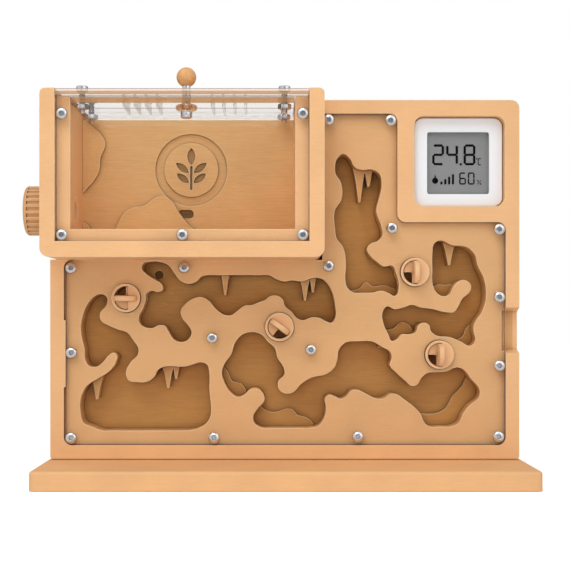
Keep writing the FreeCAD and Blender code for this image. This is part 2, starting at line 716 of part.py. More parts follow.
def ornament():
    """A sunk ring with a sprig of leaves in it, on the back wall of the feeding box."""
    ring = rod_y(ring_x, ring_z, ring_outer, wall_y - 1, wall_y + ring_sink)
    ring = ring.cut(rod_y(ring_x, ring_z, ring_outer - ring_width, wall_y - 2, wall_y + ring_sink + 1))
    stem = slab_y(rectangle(ring_x - stem_half, ring_x + stem_half, ring_z - stem_below, ring_z + stem_above),
                  stem_corner, wall_y - 1, wall_y + leaf_sink)
    rise, length, width = top_leaf
    tools = [ring, stem, leaf(ring_x, ring_z + rise, 90, length, width)]
    for rise, length in side_leaves:
        tools.append(leaf(ring_x + leaf_aside, ring_z + rise, leaf_lean, length, leaf_width))
        tools.append(leaf(ring_x - leaf_aside, ring_z + rise, 180 - leaf_lean, length, leaf_width))
    return tools


def passage():
    """Climbing tunnel in the back wall, from the middle chamber up to the slot in the feeding box."""
    start_x, start_z = sheet(*passage_start)
    bottom = Vector(start_x, passage_y, start_z)
    top = Vector(slot_x, passage_y, slot_z)
    run = top - bottom
    bore = Part.makeCylinder(passage_radius, run.Length, bottom, run)
    end = passage_y + passage_radius
    slot = slab_y(rectangle(slot_x - slot_length / 2, slot_x + slot_length / 2,
                            slot_z - slot_height / 2, slot_z + slot_height / 2),
                  slot_height / 2 - 0.1, wall_y - 1, end)
    mouth = rod_y(bottom.x, bottom.z, slot_height / 2, floor_y - 1, end)
    return [bore, slot, mouth, Part.makeSphere(passage_radius, top)]


def wall_relief():
    """Raised rock layers on the feeding box's back wall."""
    y0 = wall_y - scene_relief
    left = cavity_left + fit_gap
    low = cavity_floor + fit_gap
    cliff_edge = [(left, back_top - overlap)] + [sheet(x, z) for x, z in cliff_line]
    cliff_edge.append((left, sheet(0, cliff_foot)[1]))
    cliff = ridge_slab(cliff_edge, [], y0, wall_y + 0.5)
    hill_edge = [(sheet(hill_from, 0)[0], low)] + [sheet(x, z) for x, z in hill_line]
    hill_edge.append((sheet(hill_to, 0)[0], low))
    hill = ridge_slab(hill_edge, [], y0, wall_y + 0.5)
    mound_edge = [(left, sheet(0, mound_top)[1])] + [sheet(x, z) for x, z in mound_line]
    mound_edge.append((sheet(mound_to, 0)[0], low))
    mound = ridge_slab(mound_edge, [(left, low)], y0, wall_y + 0.5)
    return [cliff, hill, mound]


def nest_body():
    body = nest_outline()
    half = tongue_length / 2
    low = base_screw_y - tongue_width / 2
    body = body.fuse(block(-half, half, low, low + tongue_width, tongue_bottom, nest_bottom + 1))
    body = body.cut(block(-wide, box_right + fit_gap, -1, wall_y, box_bottom, nest_top + 9))
    body = body.cut(block(window_left, window_right, 0, nest_depth + 1, lid_seat, nest_top + 9))
    body = body.cut(block(cavity_left, cavity_right, 0, nest_depth + 1, back_top, nest_top + 9))
    body = body.cut(cover_outline(0, -1, face_y, 0))
    body = body.fuse(block(pocket_left - 1, pocket_left + left_gap - land_gap, 0, face_y + 1,
                           sheet(0, land_bottom)[1], sheet(0, land_top)[1]))
    rocks = rock_bodies()
    for outline in (chamber_upper_left, chamber_right, chamber_lower_right, chamber_lower_left,
                    chamber_middle):
        body = body.cut(chamber_hollow(outline, rocks))
    tools = [finger_notch(), meter_pocket()]
    for centre, ends, bar, cover in gates:
        tools += gate_bores(centre, ends)
    for x, z in cover_screws_at:
        tools.append(insert_hole_y(x, z, face_y, screw_length))
    for x, z in box_screws_at:
        tools.append(rod_y(x, z, hole_radius, wall_y - 1, nest_depth + 1))
        tools.append(rod_y(x, z, head_sink_radius, nest_depth - head_sink, nest_depth + 1))
    for x in base_screws_at:
        tools.append(rod_z(x, base_screw_y, insert_radius, tongue_bottom - 1, tongue_bottom + insert_length))
    tools += ornament()
    tools += passage()
    for tool in tools:
        body = body.cut(tool)
    for raised in wall_relief():
        body = body.fuse(raised.cut(passage()[0]))
    return body


def nest_cover():
    sheet_of_acrylic = cover_outline(cover_gap, cover_recess, face_y, left_gap)
    for x, z in cover_screws_at:
        sheet_of_acrylic = sheet_of_acrylic.cut(rod_y(x, z, hole_radius, -1, face_y + 1))
    for centre, ends, bar, cover in gates:
        x, z = sheet(*centre)
        sheet_of_acrylic = sheet_of_acrylic.cut(rod_y(x, z, gate_seat_radius + gate_seat_gap, -1, face_y + 1))
    return sheet_of_acrylic


# ---------------------------------------------------------------- rotary gates
def place_gate(shape, centre, angle):
    x, z = sheet(*centre)
    turned = shape.copy()
    turned.Placement = FreeCAD.Placement(Vector(x, 0, z), FreeCAD.Rotation(Vector(0, 1, 0), -angle))
    return turned


def gate_seat():
    """Ring set flush in the cover, with a fixed half cover on its +X side."""
    ring = rod_y(0, 0, gate_seat_radius, cover_recess, cover_recess + gate_seat_length)
    half_room = block(gate_cover_edge, wide, -1, cover_recess + gate_cover, -wide, wide)
    bore = rod_y(0, 0, gate_bore, -1, nest_depth).cut(half_room)
    relief = rod_y(0, 0, gate_hub_radius + gate_axial_gap, -1, nest_depth)
    return ring.cut(bore).cut(relief)


def gate_bar(back):
    """Finger bar with a half-round crest and rounded long edges."""
    reach = gate_bar_length / 2
    shoulder = back - gate_bar_end_height
    low = -gate_bar_width / 2 - gate_bar_aside
    ends = [Vector(-reach, shoulder, low), Vector(-reach, back, low), Vector(reach, back, low),
            Vector(reach, shoulder, low)]
    crest = Part.Arc(ends[3], Vector(0, shoulder - reach, low), ends[0]).toShape()
    sides = [Part.LineSegment(a, b).toShape() for a, b in zip(ends, ends[1:])]
    bar = Part.Face(Part.Wire(sides + [crest])).extrude(Vector(0, 0, gate_bar_width))
    long_edges = [e for e in bar.Edges if e.BoundBox.ZLength < 1e-6 and e.BoundBox.YMin < back - 1e-6]
    return bar.makeFillet(gate_bar_round, long_edges)


def gate_rotor():
    """Drum with a channel along the bar, a quarter opening in its face, a hub, the bar and a pivot pin."""
    disc_front = cover_recess + gate_cover + gate_axial_gap
    disc_back = disc_front + gate_disc
    drum = rod_y(0, 0, gate_rotor_radius, disc_front, gate_drum_end)
    channel_end = gate_drum_end - gate_end_wall
    channel = block(-wide, wide, disc_back, channel_end, -gate_channel / 2, gate_channel / 2)
    quarter = slab_y(rectangle(0, -wide, gate_bar_width / 2, wide), [gate_quarter_corner, 0, 0, 0], -1,
                     channel_end)
    drum = drum.cut(channel).cut(quarter)
    bar_back = cover_recess - gate_axial_gap
    bar = gate_bar(bar_back)
    hub = rod_y(0, 0, gate_hub_radius, bar_back - gate_overlap, disc_front + gate_overlap)
    pin = rod_y(0, 0, gate_pin_radius, gate_drum_end - gate_overlap, gate_drum_end + gate_pin_length)
    return fuse_all([drum, bar, hub, pin])


# ---------------------------------------------------------------- feeding box
def outworld_box():
    corners = rectangle(box_left, box_right, box_bottom, box_top)
    body = slab_y(corners, [box_corner, box_corner, arm_round, arm_round], -box_reach, wall_y)
    body = body.cut(block(window_left, window_right, -box_reach - 1, ledge_y, window_bottom, box_top + 1))
    body = body.cut(block(cavity_left, cavity_right, -box_reach - 1, wall_y + 1, cavity_floor, box_top + 1))
    body = body.cut(block(window_left, window_right, -box_reach - 1, wall_y + 1, lid_seat, box_top + 1))
    for x, z in window_screws_at:
        body = body.cut(insert_hole_y(x, z, ledge_y, screw_length))
    for x, z in box_screws_at:
        body = body.cut(flip_y(insert_hole_y(x, z, wall_y, box_screw_length), wall_y))
    return body.cut(rod_x(port_y, port_z, port_tube + port_tube_gap, box_left - 1, cavity_left + 1))


def outworld_window():
    corners = rectangle(window_left + fit_gap, window_right - fit_gap, window_bottom + fit_gap, lid_seat)
    pane = slab_y(corners, 0, window_y, ledge_y)
    for x, z in window_screws_at:
        pane = pane.cut(rod_y(x, z, hole_radius, window_y - 1, ledge_y + 1))
    return pane


# ---------------------------------------------------------------- lift-off lid
def lid_bolt_places():
    return [(x, y) for x in (cavity_left + lid_bolt_in, cavity_right - lid_bolt_in) for y in lid_bolt_y]


def lid_openings():
    tools = [rod_z(x, y, hole_radius, lid_low - 1, lid_top + 1) for x, y in lid_bolt_places()]
    tools.append(rod_z(knob_x, knob_y, knob_stud_radius + knob_stud_room, lid_low - 1, lid_top + 1))
    for middle in slit_group_x:
        for k in range(slit_count):
            x = middle + (k - (slit_count - 1) / 2) * slit_pitch
            corners = rectangle(x - slit_width / 2, x + slit_width / 2, -slit_length / 2, slit_length / 2)
            tools.append(slab_z(corners, 0.44 * slit_width, lid_low - 1, lid_top + 1))
    return tools


def lid_top_plate():
    corners = rectangle(window_left + fit_gap, window_right - fit_gap, -box_reach + fit_gap,
                        nest_depth - fit_gap)
    plate = slab_z(corners, 0, lid_seat, lid_top)
    for tool in lid_openings():
        plate = plate.cut(tool)
    return plate


def lid_lower_plate():
    corners = rectangle(cavity_left + lid_side_gap, cavity_right - lid_side_gap, ledge_y + lid_side_gap,
                        nest_depth - fit_gap)
    plate = slab_z(corners, 0, lid_low, lid_seat)
    for tool in lid_openings():
        plate = plate.cut(tool)
    return plate


def lid_bolts():
    bolts = []
    end = lid_low - nut_height - bolt_past_nut
    for x, y in lid_bolt_places():
        head = rod_z(x, y, cap_head_radius, lid_top, lid_top + cap_head_height)
        shank = rod_z(x, y, screw_radius, end, lid_top + overlap)
        socket = hex_rod_z(x, y, socket_width / 2, lid_top + socket_floor, lid_top + cap_head_height + 1)
        bolts.append(head.fuse(shank).cut(socket))
    return bolts


def lid_nuts():
    nuts = []
    corner_radius = nut_flat / 2 / math.cos(math.pi / 6)
    for x, y in lid_bolt_places():
        nut = hex_rod_z(x, y, nut_flat / 2, lid_low - nut_height, lid_low)
        round_blank = rod_z(x, y, corner_radius, lid_low - nut_height, lid_low)
        nut = nut.common(round_blank.makeChamfer(nut_edge, end_circles(round_blank)))
        nuts.append(nut.cut(rod_z(x, y, insert_bore, lid_low - 9, lid_low + 9)))
    return nuts


def end_circles(rod):
    return [e for e in rod.Edges if e.BoundBox.ZLength < 1e-6]


def knob_ball():
    centre = Vector(knob_x, knob_y, lid_top + knob_stand_off + knob_ball_radius)
    flat = lid_top + knob_stand_off + knob_ball_flat
    ball = Part.makeSphere(knob_ball_radius, centre)
    ball = ball.cut(rod_z(knob_x, knob_y, knob_ball_radius, flat - 9, flat))
    return ball.cut(rod_z(knob_x, knob_y, knob_stud_radius + knob_ball_fit, flat - 1, centre.z))


def knob_stud():
    top = lid_top + knob_stand_off + knob_ball_radius - knob_stud_short
    return rod_z(knob_x, knob_y, knob_stud_radius, lid_low - knob_washer_height - knob_stud_below, top)


def knob_washer():
    disc = rod_z(knob_x, knob_y, knob_washer_radius, lid_low - knob_washer_height, lid_low)
    disc = disc.makeFillet(knob_washer_round, end_circles(disc))
    return disc.cut(rod_z(knob_x, knob_y, knob_stud_radius + knob_washer_gap, lid_low - 9, lid_low + 1))


def knob_nut():
    top = lid_low - knob_washer_height
    sleeve = rod_z(knob_x, knob_y, knob_nut_radius, top - knob_nut_height, top)
    sleeve = sleeve.makeChamfer(knob_nut_edge, end_circles(sleeve))
    return sleeve.cut(rod_z(knob_x, knob_y, knob_stud_radius + knob_ball_fit, top - knob_nut_thread, top + 1))


# ---------------------------------------------------------------- port on the left wall
def port_nipple():
    tube = rod_x(port_y, port_z, port_tube, box_left - port_stand_out, cavity_left)
    return tube.cut(rod_x(port_y, port_z, port_bore, box_left - 9, cavity_left + 1))


def port_cap():
    """Domed screw cap with flutes round its side, closed at its outer end."""
    inner = box_left - port_cap_foot
    outer = box_left - port_cap_length
    cap = rod_x(port_y, port_z, port_cap_radius, outer, inner)
    rim_edges = [e for e in cap.Edges if abs(e.BoundBox.XMin - outer) < 1e-6 and e.BoundBox.XLength < 1e-6]
    cap = cap.makeFillet(port_cap_dome, rim_edges)
    mouth = rod_x(port_y, port_z, port_tube + port_thread_gap, box_left - port_stand_out - port_cap_end_gap,
                  inner + 1)
    cap = cap.cut(mouth)
    for k in range(flute_count):
        angle = 2 * math.pi * k / flute_count
        y = port_y + port_cap_radius * math.cos(angle)
        z = port_z + port_cap_radius * math.sin(angle)
        cap = cap.cut(rod_x(y, z, flute_radius, outer + port_cap_dome, inner - flute_from_foot))
    return cap


# ---------------------------------------------------------------- climate meter
def meter_square(size, corner, y0, y1, drop=0.0):
    half = size / 2
    middle = meter_z - drop
    return slab_y(rectangle(meter_x - half, meter_x + half, middle - half, middle + half), corner, y0, y1)


meter_front = meter_recess
meter_back_y = meter_recess + meter_depth
lens_back = meter_front + meter_wall + lens_flange_thickness
screen_back = lens_back + meter_screen_thickness
board_back = screen_back + board_thickness
coin_back = board_back + coin_thickness


def meter_housing():
    shell = meter_square(meter_size, meter_corner, meter_front, meter_back_y)
    front_edges = [e for e in shell.Edges if e.BoundBox.YMax < meter_front + 1e-6]
    shell = shell.makeFillet(meter_front_round, front_edges)
    inside = meter_square(meter_size - 2 * meter_wall, meter_corner - meter_wall, meter_front + meter_wall,
                          meter_back_y + 1)
    opening = meter_square(meter_window, meter_window_corner, meter_front - 1, meter_back_y,
                           meter_window_drop)
    return shell.cut(inside).cut(opening)


def meter_lens():
    raised = meter_square(meter_window - 2 * lens_gap, meter_window_corner - lens_gap,
                          meter_front + lens_sink, meter_front + meter_wall + overlap, meter_window_drop)
    return raised.fuse(meter_square(meter_screen + 2 * lens_flange, meter_window_corner,
                                    meter_front + meter_wall, lens_back, meter_window_drop))


def meter_screen_panel():
    return meter_square(meter_screen, meter_screen_corner, lens_back, screen_back, meter_window_drop)


def meter_board():
    return meter_square(meter_size - 2 * meter_wall - 2 * board_gap, board_corner, screen_back, board_back)


def meter_coin_cell():
    return rod_y(meter_x, meter_z, coin_radius, board_back, coin_back)


def meter_back_cover():
    plate_front = meter_back_y - back_cover_thickness
    plate = meter_square(meter_size - 2 * meter_wall - 2 * back_cover_gap, meter_corner - meter_wall,
                         plate_front, meter_back_y)
    ring = rod_y(meter_x, meter_z, coin_radius, coin_back, plate_front + overlap)
    return plate.fuse(ring.cut(rod_y(meter_x, meter_z, coin_radius - back_cover_ring, 0, plate_front)))


# ---------------------------------------------------------------- write the pieces
def pieces():
    single = {
        "base_plate": base_plate(), "nest_body": nest_body(), "nest_cover": nest_cover(),
        "outworld_box": outworld_box(), "outworld_window": outworld_window(),
        "lid_top_plate": lid_top_plate(), "lid_lower_plate": lid_lower_plate(),
        "knob_ball": knob_ball(), "knob_stud": knob_stud(),
        "knob_washer": knob_washer(), "knob_nut": knob_nut(),
        "port_nipple": port_nipple(), "port_cap": port_cap(),
        "meter_housing": meter_housing(), "meter_lens": meter_lens(), "meter_screen": meter_screen_panel(),
        "meter_board": meter_board(), "meter_coin_cell": meter_coin_cell(),
        "meter_back_cover": meter_back_cover()}
    groups = {
        "cover_screws": cover_screws(), "cover_inserts": cover_inserts(),
        "window_screws": window_screws(), "window_inserts": window_inserts(),
        "box_screws": box_screws(), "box_inserts": box_inserts(),
        "base_screws": base_screws(), "base_inserts": base_inserts(),
        "lid_bolts": lid_bolts(), "lid_nuts": lid_nuts()}
    seat = gate_seat()
    rotor = gate_rotor()
    for number, (centre, ends, bar, cover) in enumerate(gates, 1):
        single["gate_seat_%d" % number] = place_gate(seat, centre, cover)
        single["gate_rotor_%d" % number] = place_gate(rotor, centre, bar)
    for name, solids in groups.items():
        single[name] = Part.makeCompound(solids)
    return single


os.makedirs("parts", exist_ok=True)
for name, shape in pieces().items():
    print("%-18s solids %2d  volume %10.1f" % (name, len(shape.Solids), shape.Volume), shape.isValid())
    shape.exportStep("parts/%s.step" % name)
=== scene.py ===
import math

import bpy
from mathutils import Matrix, Vector


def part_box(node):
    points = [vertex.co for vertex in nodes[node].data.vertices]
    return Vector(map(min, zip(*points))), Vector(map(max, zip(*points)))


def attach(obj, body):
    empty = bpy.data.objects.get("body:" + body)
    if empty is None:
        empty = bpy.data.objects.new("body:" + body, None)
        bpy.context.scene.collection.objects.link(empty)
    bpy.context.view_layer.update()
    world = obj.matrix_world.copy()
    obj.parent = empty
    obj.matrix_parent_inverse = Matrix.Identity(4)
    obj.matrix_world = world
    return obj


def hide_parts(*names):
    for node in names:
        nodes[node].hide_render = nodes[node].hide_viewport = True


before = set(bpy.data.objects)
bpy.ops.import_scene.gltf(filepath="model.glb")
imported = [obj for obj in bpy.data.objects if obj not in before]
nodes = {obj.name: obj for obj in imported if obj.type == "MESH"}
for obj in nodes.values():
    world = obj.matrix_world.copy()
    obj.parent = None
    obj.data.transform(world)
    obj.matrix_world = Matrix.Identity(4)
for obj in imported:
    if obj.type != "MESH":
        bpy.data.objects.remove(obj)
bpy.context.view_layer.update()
bpy.ops.object.select_all(action="DESELECT")
mm = 0.001
white = (1, 1, 1, 1)
print("frame loaded:", len(nodes), "nodes")

camera = {
    "place": (-6.2 * mm, -600 * mm, 78.05 * mm),  # level with the lower chambers
    "sensor": 36,
    "lens": 78.0,
    "shift": (0.0228, 0.0579),
    "nearest": 10 * mm,
}


def addCamera():
    bpy.ops.object.camera_add(location=camera["place"], rotation=(math.pi / 2, 0, 0))
    eye = bpy.context.object
    eye.data.sensor_width = camera["sensor"]
    eye.data.lens = camera["lens"]
    eye.data.shift_x, eye.data.shift_y = camera["shift"]
    eye.data.clip_start = camera["nearest"]
    bpy.context.scene.camera = eye


lamps = {  # name: (place, size, power)
    "keyLight": ((-0.35, -0.95, 1.3), 0.9, 8.0),
    "fillLight": ((0.9, -0.9, 0.5), 0.9, 1.5),
    "frontLight": ((-0.05, -0.32, 0.1), 0.1, 0.115),  # before the chambers, out of the camera's sight
}
lampsAimAt = Vector((0.0, 0.0, 0.09))


def addSoftbox(name, place, size, power):
    bpy.ops.object.light_add(type="AREA", location=place)
    lamp = bpy.context.object
    lamp.name = name
    lamp.data.size = size
    lamp.data.energy = power
    lamp.rotation_euler = (lampsAimAt - Vector(place)).to_track_quat("-Z", "Y").to_euler()
    lamp.visible_camera = False
    return lamp


# a Math node on two values, each a socket or a number
def combine(tree, operation, first, second, clamp=False):
    node = tree.nodes.new("ShaderNodeMath")
    node.operation = operation
    node.use_clamp = clamp
    for socket, value in zip(node.inputs, (first, second)):
        if isinstance(value, (int, float)):
            socket.default_value = value
        else:
            tree.links.new(value, socket)
    return node.outputs[0]


# a value brought from one range to another
def remap(tree, value, low, high, toLow=0.0, toHigh=1.0):
    node = tree.nodes.new("ShaderNodeMapRange")
    for label, number in (("From Min", low), ("From Max", high), ("To Min", toLow), ("To Max", toHigh)):
        node.inputs[label].default_value = number
    tree.links.new(value, node.inputs["Value"])
    return node.outputs["Result"]


def split(tree, vector):
    node = tree.nodes.new("ShaderNodeSeparateXYZ")
    tree.links.new(vector, node.inputs[0])
    return node.outputs


# 1 where the lens looks, straight or through a clear piece
def plainView(tree, path):
    return combine(tree, "ADD", path["Is Camera Ray"], path["Is Transmission Ray"], True)


sky = {
    "onObject": (0.38, 0.68),  # strength at the horizon and overhead
    "domeInMetal": (0.55, 1.1),  # brightness that metal mirrors low down and high up
    "domeSpan": (-0.2, 0.7),
    "spotInMetal": 0.3,  # the camera's dark place
    "spotSpan": (-0.985, -0.93),
    "behindInMetal": 0.28,  # the room behind the object
    "behindSpan": (0.1, 0.75),
}


def whiteSky():
    world = bpy.data.worlds.new("studioSky")
    bpy.context.scene.world = world
    world.use_nodes = True
    tree = world.node_tree
    path = tree.nodes.new("ShaderNodeLightPath").outputs
    way = split(tree, tree.nodes.new("ShaderNodeTexCoord").outputs["Generated"])
    plain = plainView(tree, path)
    overhead = remap(tree, way["Z"], *sky["domeSpan"], *sky["domeInMetal"])
    spot = remap(tree, way["Y"], *sky["spotSpan"], sky["spotInMetal"], 1.0)
    behind = remap(tree, way["Y"], *sky["behindSpan"], 1.0, sky["behindInMetal"])
    around = combine(tree, "MULTIPLY", overhead, combine(tree, "MULTIPLY", spot, behind))
    mirrored = combine(tree, "MULTIPLY", path["Is Glossy Ray"], around)
    seen = combine(tree, "MAXIMUM", plain, mirrored)
    diffuse = combine(tree, "SUBTRACT", 1.0, combine(tree, "ADD", plain, path["Is Glossy Ray"], True))
    dome = remap(tree, way["Z"], 0.0, 1.0, *sky["onObject"])
    strength = combine(tree, "ADD", seen, combine(tree, "MULTIPLY", diffuse, dome))
    background = tree.nodes["Background"].inputs
    background["Color"].default_value = white
    tree.links.new(strength, background["Strength"])


floorLooks = {
    "size": 6.0,
    "height": -0.2 * mm,  # just under the base plate
    "roughness": 0.9,
    "glow": 0.42,  # added where the lens looks, so that it is white there
    "inMetal": 0.8,
}


def whiteFloor():
    bpy.ops.mesh.primitive_plane_add(size=floorLooks["size"], location=(0, 0, floorLooks["height"]))
    floor = bpy.context.object
    floor.name = "studioFloor"
    paint = bpy.data.materials.new("floorWhite")
    paint.use_nodes = True
    tree = paint.node_tree
    shader = tree.nodes["Principled BSDF"]
    shader.inputs["Roughness"].default_value = floorLooks["roughness"]
    shader.inputs["Emission Color"].default_value = white
    path = tree.nodes.new("ShaderNodeLightPath").outputs
    glow = combine(tree, "MULTIPLY", plainView(tree, path), floorLooks["glow"])
    tree.links.new(glow, shader.inputs["Emission Strength"])
    brightness = remap(tree, path["Is Glossy Ray"], 0.0, 1.0, 1.0, floorLooks["inMetal"])
    tree.links.new(brightness, shader.inputs["Base Color"])
    floor.data.materials.append(paint)


bpy.context.scene.view_settings.view_transform = "Standard"
addCamera()
whiteSky()
whiteFloor()
softboxes = {name: addSoftbox(name, *values) for name, values in lamps.items()}
softboxes["frontLight"].visible_glossy = False  # its picture would stand in the clear cover
print("camera and light set")


def startGroup(name, inputs, outputs):
    tree = bpy.data.node_groups.new(name, "ShaderNodeTree")
    for label, value in inputs.items():
        socket = tree.interface.new_socket(label, in_out="INPUT", socket_type="NodeSocketFloat")
        socket.default_value = value
    for label, kind in outputs.items():
        tree.interface.new_socket(label, in_out="OUTPUT", socket_type="NodeSocket" + kind)
    return tree, tree.nodes.new("NodeGroupInput").outputs, tree.nodes.new("NodeGroupOutput").inputs


# Object coordinates, stretched along X, Y and Z
def objectPlace(tree, stretch=(1, 1, 1)):
    scale = tree.nodes.new("ShaderNodeVectorMath")
    scale.operation = "MULTIPLY"
    scale.inputs[1].default_value = stretch
    tree.links.new(tree.nodes.new("ShaderNodeTexCoord").outputs["Object"], scale.inputs[0])
    return scale.outputs[0]


# scale counts features per metre, as a number or a socket
def noise(tree, place, scale, detail=2.0, roughness=0.5):
    node = tree.nodes.new("ShaderNodeTexNoise")
    node.inputs["Detail"].default_value = detail
    node.inputs["Roughness"].default_value = roughness
    tree.links.new(place, node.inputs["Vector"])
    if isinstance(scale, (int, float)):
        node.inputs["Scale"].default_value = scale
    else:
        tree.links.new(scale, node.inputs["Scale"])
    return node.outputs["Fac"]


printLines = {
    "perMetre": 1500.0,
    "roughness": 0.55,
    "alongLine": 0.1,  # how fast a line changes along itself, against across
    "wave": 0.15,
    "waveHeight": 4.0 * mm,
    "driftStretch": (0.7, 0.7, 2.0),
    "driftPerMetre": 55.0,
    "rippleTurns": 6400.0,  # radians per metre
    "rippleShare": 0.09,
}


# fine wavy lines along X, as a printed part shows them
def makeLayerLines():
    values = printLines
    inputs = {"Per Metre": values["perMetre"], "Wave": values["wave"], "Turns": values["rippleTurns"]}
    tree, given, out = startGroup("layerLines", inputs, {"Lines": "Float"})
    drift = noise(tree, objectPlace(tree, values["driftStretch"]), values["driftPerMetre"], detail=1.0)
    place = split(tree, objectPlace(tree))
    wave = combine(tree, "MULTIPLY", combine(tree, "MULTIPLY", drift, given["Wave"]), values["waveHeight"])
    join = tree.nodes.new("ShaderNodeCombineXYZ")
    for axis in "XY":
        tree.links.new(combine(tree, "MULTIPLY", place[axis], values["alongLine"]), join.inputs[axis])
    tree.links.new(combine(tree, "ADD", place["Z"], wave), join.inputs["Z"])
    broken = noise(tree, join.outputs[0], given["Per Metre"], roughness=values["roughness"])
    turn = combine(tree, "ADD", combine(tree, "MULTIPLY", place["Z"], given["Turns"]), drift)
    even = combine(tree, "MULTIPLY", combine(tree, "SINE", turn, 0.0), values["rippleShare"])
    tree.links.new(combine(tree, "ADD", broken, even), out["Lines"])
    return tree


# soft clouds and a fine grain of the plastic, both counted per metre
def makeSpeckle():
    tree, given, out = startGroup("plasticSpeckle", {"Clouds": 40.0, "Grain": 2600.0},
                                  {"Clouds": "Float", "Grain": "Float"})
    place = objectPlace(tree)
    tree.links.new(noise(tree, place, given["Clouds"], detail=3.0), out["Clouds"])
    tree.links.new(noise(tree, place, given["Grain"], detail=1.0), out["Grain"])
    return tree


edgeShading = {
    "radius": 0.6 * mm,
    "reach": 8.0,  # how soon the painted highlight on a turning edge is at its lightest
    "cornerWidth": 5.0 * mm,
    "grooveWidth": 0.9 * mm,
    "edgeOpen": (0.75, 0.95),  # openness at which the painted edge highlight starts to show and shows in full
    "cornerOpen": (0.85, 0.15),  # the same for the painted shade of a corner
    "grooveOpen": (0.8, 0.4),  # and for the painted shade of a groove
    "bevelSamples": 6,
    "openSamples": 8,
}


# how open the surface is within a distance, to its own piece or to all of them
def openness(tree, distance, alone=True):
    node = tree.nodes.new("ShaderNodeAmbientOcclusion")
    node.samples = edgeShading["openSamples"]
    node.only_local = alone
    tree.links.new(distance, node.inputs["Distance"])
    return node.outputs["AO"]


# painted highlight where an edge turns, painted shade in a corner and in a groove, and the softened normal
def makeEdges(name, alone):
    inputs = {"Radius": edgeShading["radius"], "Reach": edgeShading["reach"],
              "Corner": edgeShading["cornerWidth"], "Groove": edgeShading["grooveWidth"]}
    outputs = {"Edge": "Float", "Corner": "Float", "Groove": "Float", "Normal": "Vector"}
    tree, given, out = startGroup(name, inputs, outputs)
    bevel = tree.nodes.new("ShaderNodeBevel")
    bevel.samples = edgeShading["bevelSamples"]
    tree.links.new(given["Radius"], bevel.inputs["Radius"])
    dot = tree.nodes.new("ShaderNodeVectorMath")
    dot.operation = "DOT_PRODUCT"
    tree.links.new(bevel.outputs[0], dot.inputs[0])
    tree.links.new(tree.nodes.new("ShaderNodeNewGeometry").outputs["Normal"], dot.inputs[1])
    away = combine(tree, "SUBTRACT", 1.0, dot.outputs["Value"])
    near = openness(tree, given["Groove"], alone)
    lit = combine(tree, "MULTIPLY", away, given["Reach"], True)
    edge = combine(tree, "MULTIPLY", lit, remap(tree, near, *edgeShading["edgeOpen"]))
    tree.links.new(edge, out["Edge"])
    tree.links.new(remap(tree, openness(tree, given["Corner"]), *edgeShading["cornerOpen"]), out["Corner"])
    tree.links.new(remap(tree, near, *edgeShading["grooveOpen"]), out["Groove"])
    tree.links.new(bevel.outputs[0], out["Normal"])
    return tree


layerLines = makeLayerLines()
plasticSpeckle = makeSpeckle()
softEdges = makeEdges("softEdges", True)
tightEdges = makeEdges("tightEdges", False)  # also sees the pieces it fits into, so it paints contact shade between parts too
print("shared effects built")


def startMaterial(name, **values):
    material = bpy.data.materials.new(name)
    material.use_nodes = True
    shader = material.node_tree.nodes["Principled BSDF"]
    for label, value in values.items():
        shader.inputs[label.replace("_", " ")].default_value = value
    return material, material.node_tree, shader


def useGroup(tree, group, **values):
    node = tree.nodes.new("ShaderNodeGroup")
    node.node_tree = group
    for label, value in values.items():
        node.inputs[label.replace("_", " ")].default_value = value
    return node.outputs


# a Mix node on colours; each value is a socket, a number or a colour
def mixColour(tree, amount, first, second, blend="MIX"):
    node = tree.nodes.new("ShaderNodeMix")
    node.data_type = "RGBA"
    node.blend_type = blend
    for socket, value in zip([s for s in node.inputs if s.enabled], (amount, first, second)):
        if isinstance(value, (int, float, tuple)):
            socket.default_value = value
        else:
            tree.links.new(value, socket)
    return [s for s in node.outputs if s.enabled][0]


def bump(tree, height, strength, distance, normal=None):
    node = tree.nodes.new("ShaderNodeBump")
    node.inputs["Strength"].default_value = strength
    node.inputs["Distance"].default_value = distance
    tree.links.new(height, node.inputs["Height"])
    if normal is not None:
        tree.links.new(normal, node.inputs["Normal"])
    return node.outputs[0]


# a colour as a picture editor shows it, 0 to 255, made linear
def srgb(red, green, blue):
    linear = []
    for part in (red, green, blue):
        share = part / 255
        linear.append(share / 12.92 if share <= 0.04045 else ((share + 0.055) / 1.055) ** 2.4)
    return (*linear, 1.0)


noiseSpan = (0.3, 0.7)  # where most of a noise's values lie

plastic = {
    "face": srgb(238, 187, 135),
    "shadedWithDepth": True,  # its colour is painted darker behind the front face, as painted shade
    "coverShade": srgb(219, 170, 117),  # painted shade on the face behind the clear cover
    "boxWallShade": srgb(220, 174, 118),  # painted shade on the wall behind the feeding box
    "pitShade": srgb(200, 147, 82),  # painted shade on the chamber floors
    "coverStarts": 1.5 * mm,
    "faceEnds": 4.0 * mm,
    "deepStarts": 13.0 * mm,
    "boxBorder": 1.0 * mm,  # half the stretch from the wall's colour to the chambers'
    "jointShadowShare": 0.9,
    "jointShadowLine": (0.3 * mm, 0.9 * mm),  # painted contact shadow, just above the base plate
    "edges": softEdges,
    # painted highlight on turning edges
    "rim": srgb(255, 230, 190),
    # painted shade in corners
    "corner": srgb(104, 64, 20),
    "cornerShadeShare": 0.65,
    # painted shade in grooves
    "grooveShade": srgb(58, 30, 10),
    "grooveShadeShare": 0.8,
    "cloudTones": (0.955, 1.045),  # these, the grain's and the lines' multiply the colour
    "grainTones": (0.97, 1.03),
    "lines": 0.3,  # their strength on the face, and 1 deep down
    "lineSpan": (0.35, 0.6),
    "lineTones": (0.925, 1.03),
    "roughness": 0.6,
    "roughnessSwing": 0.06,
    "specular": 0.25,
    "grainInRelief": 0.4,
    "relief": 0.35,
    "reliefDepth": 0.15 * mm,
}
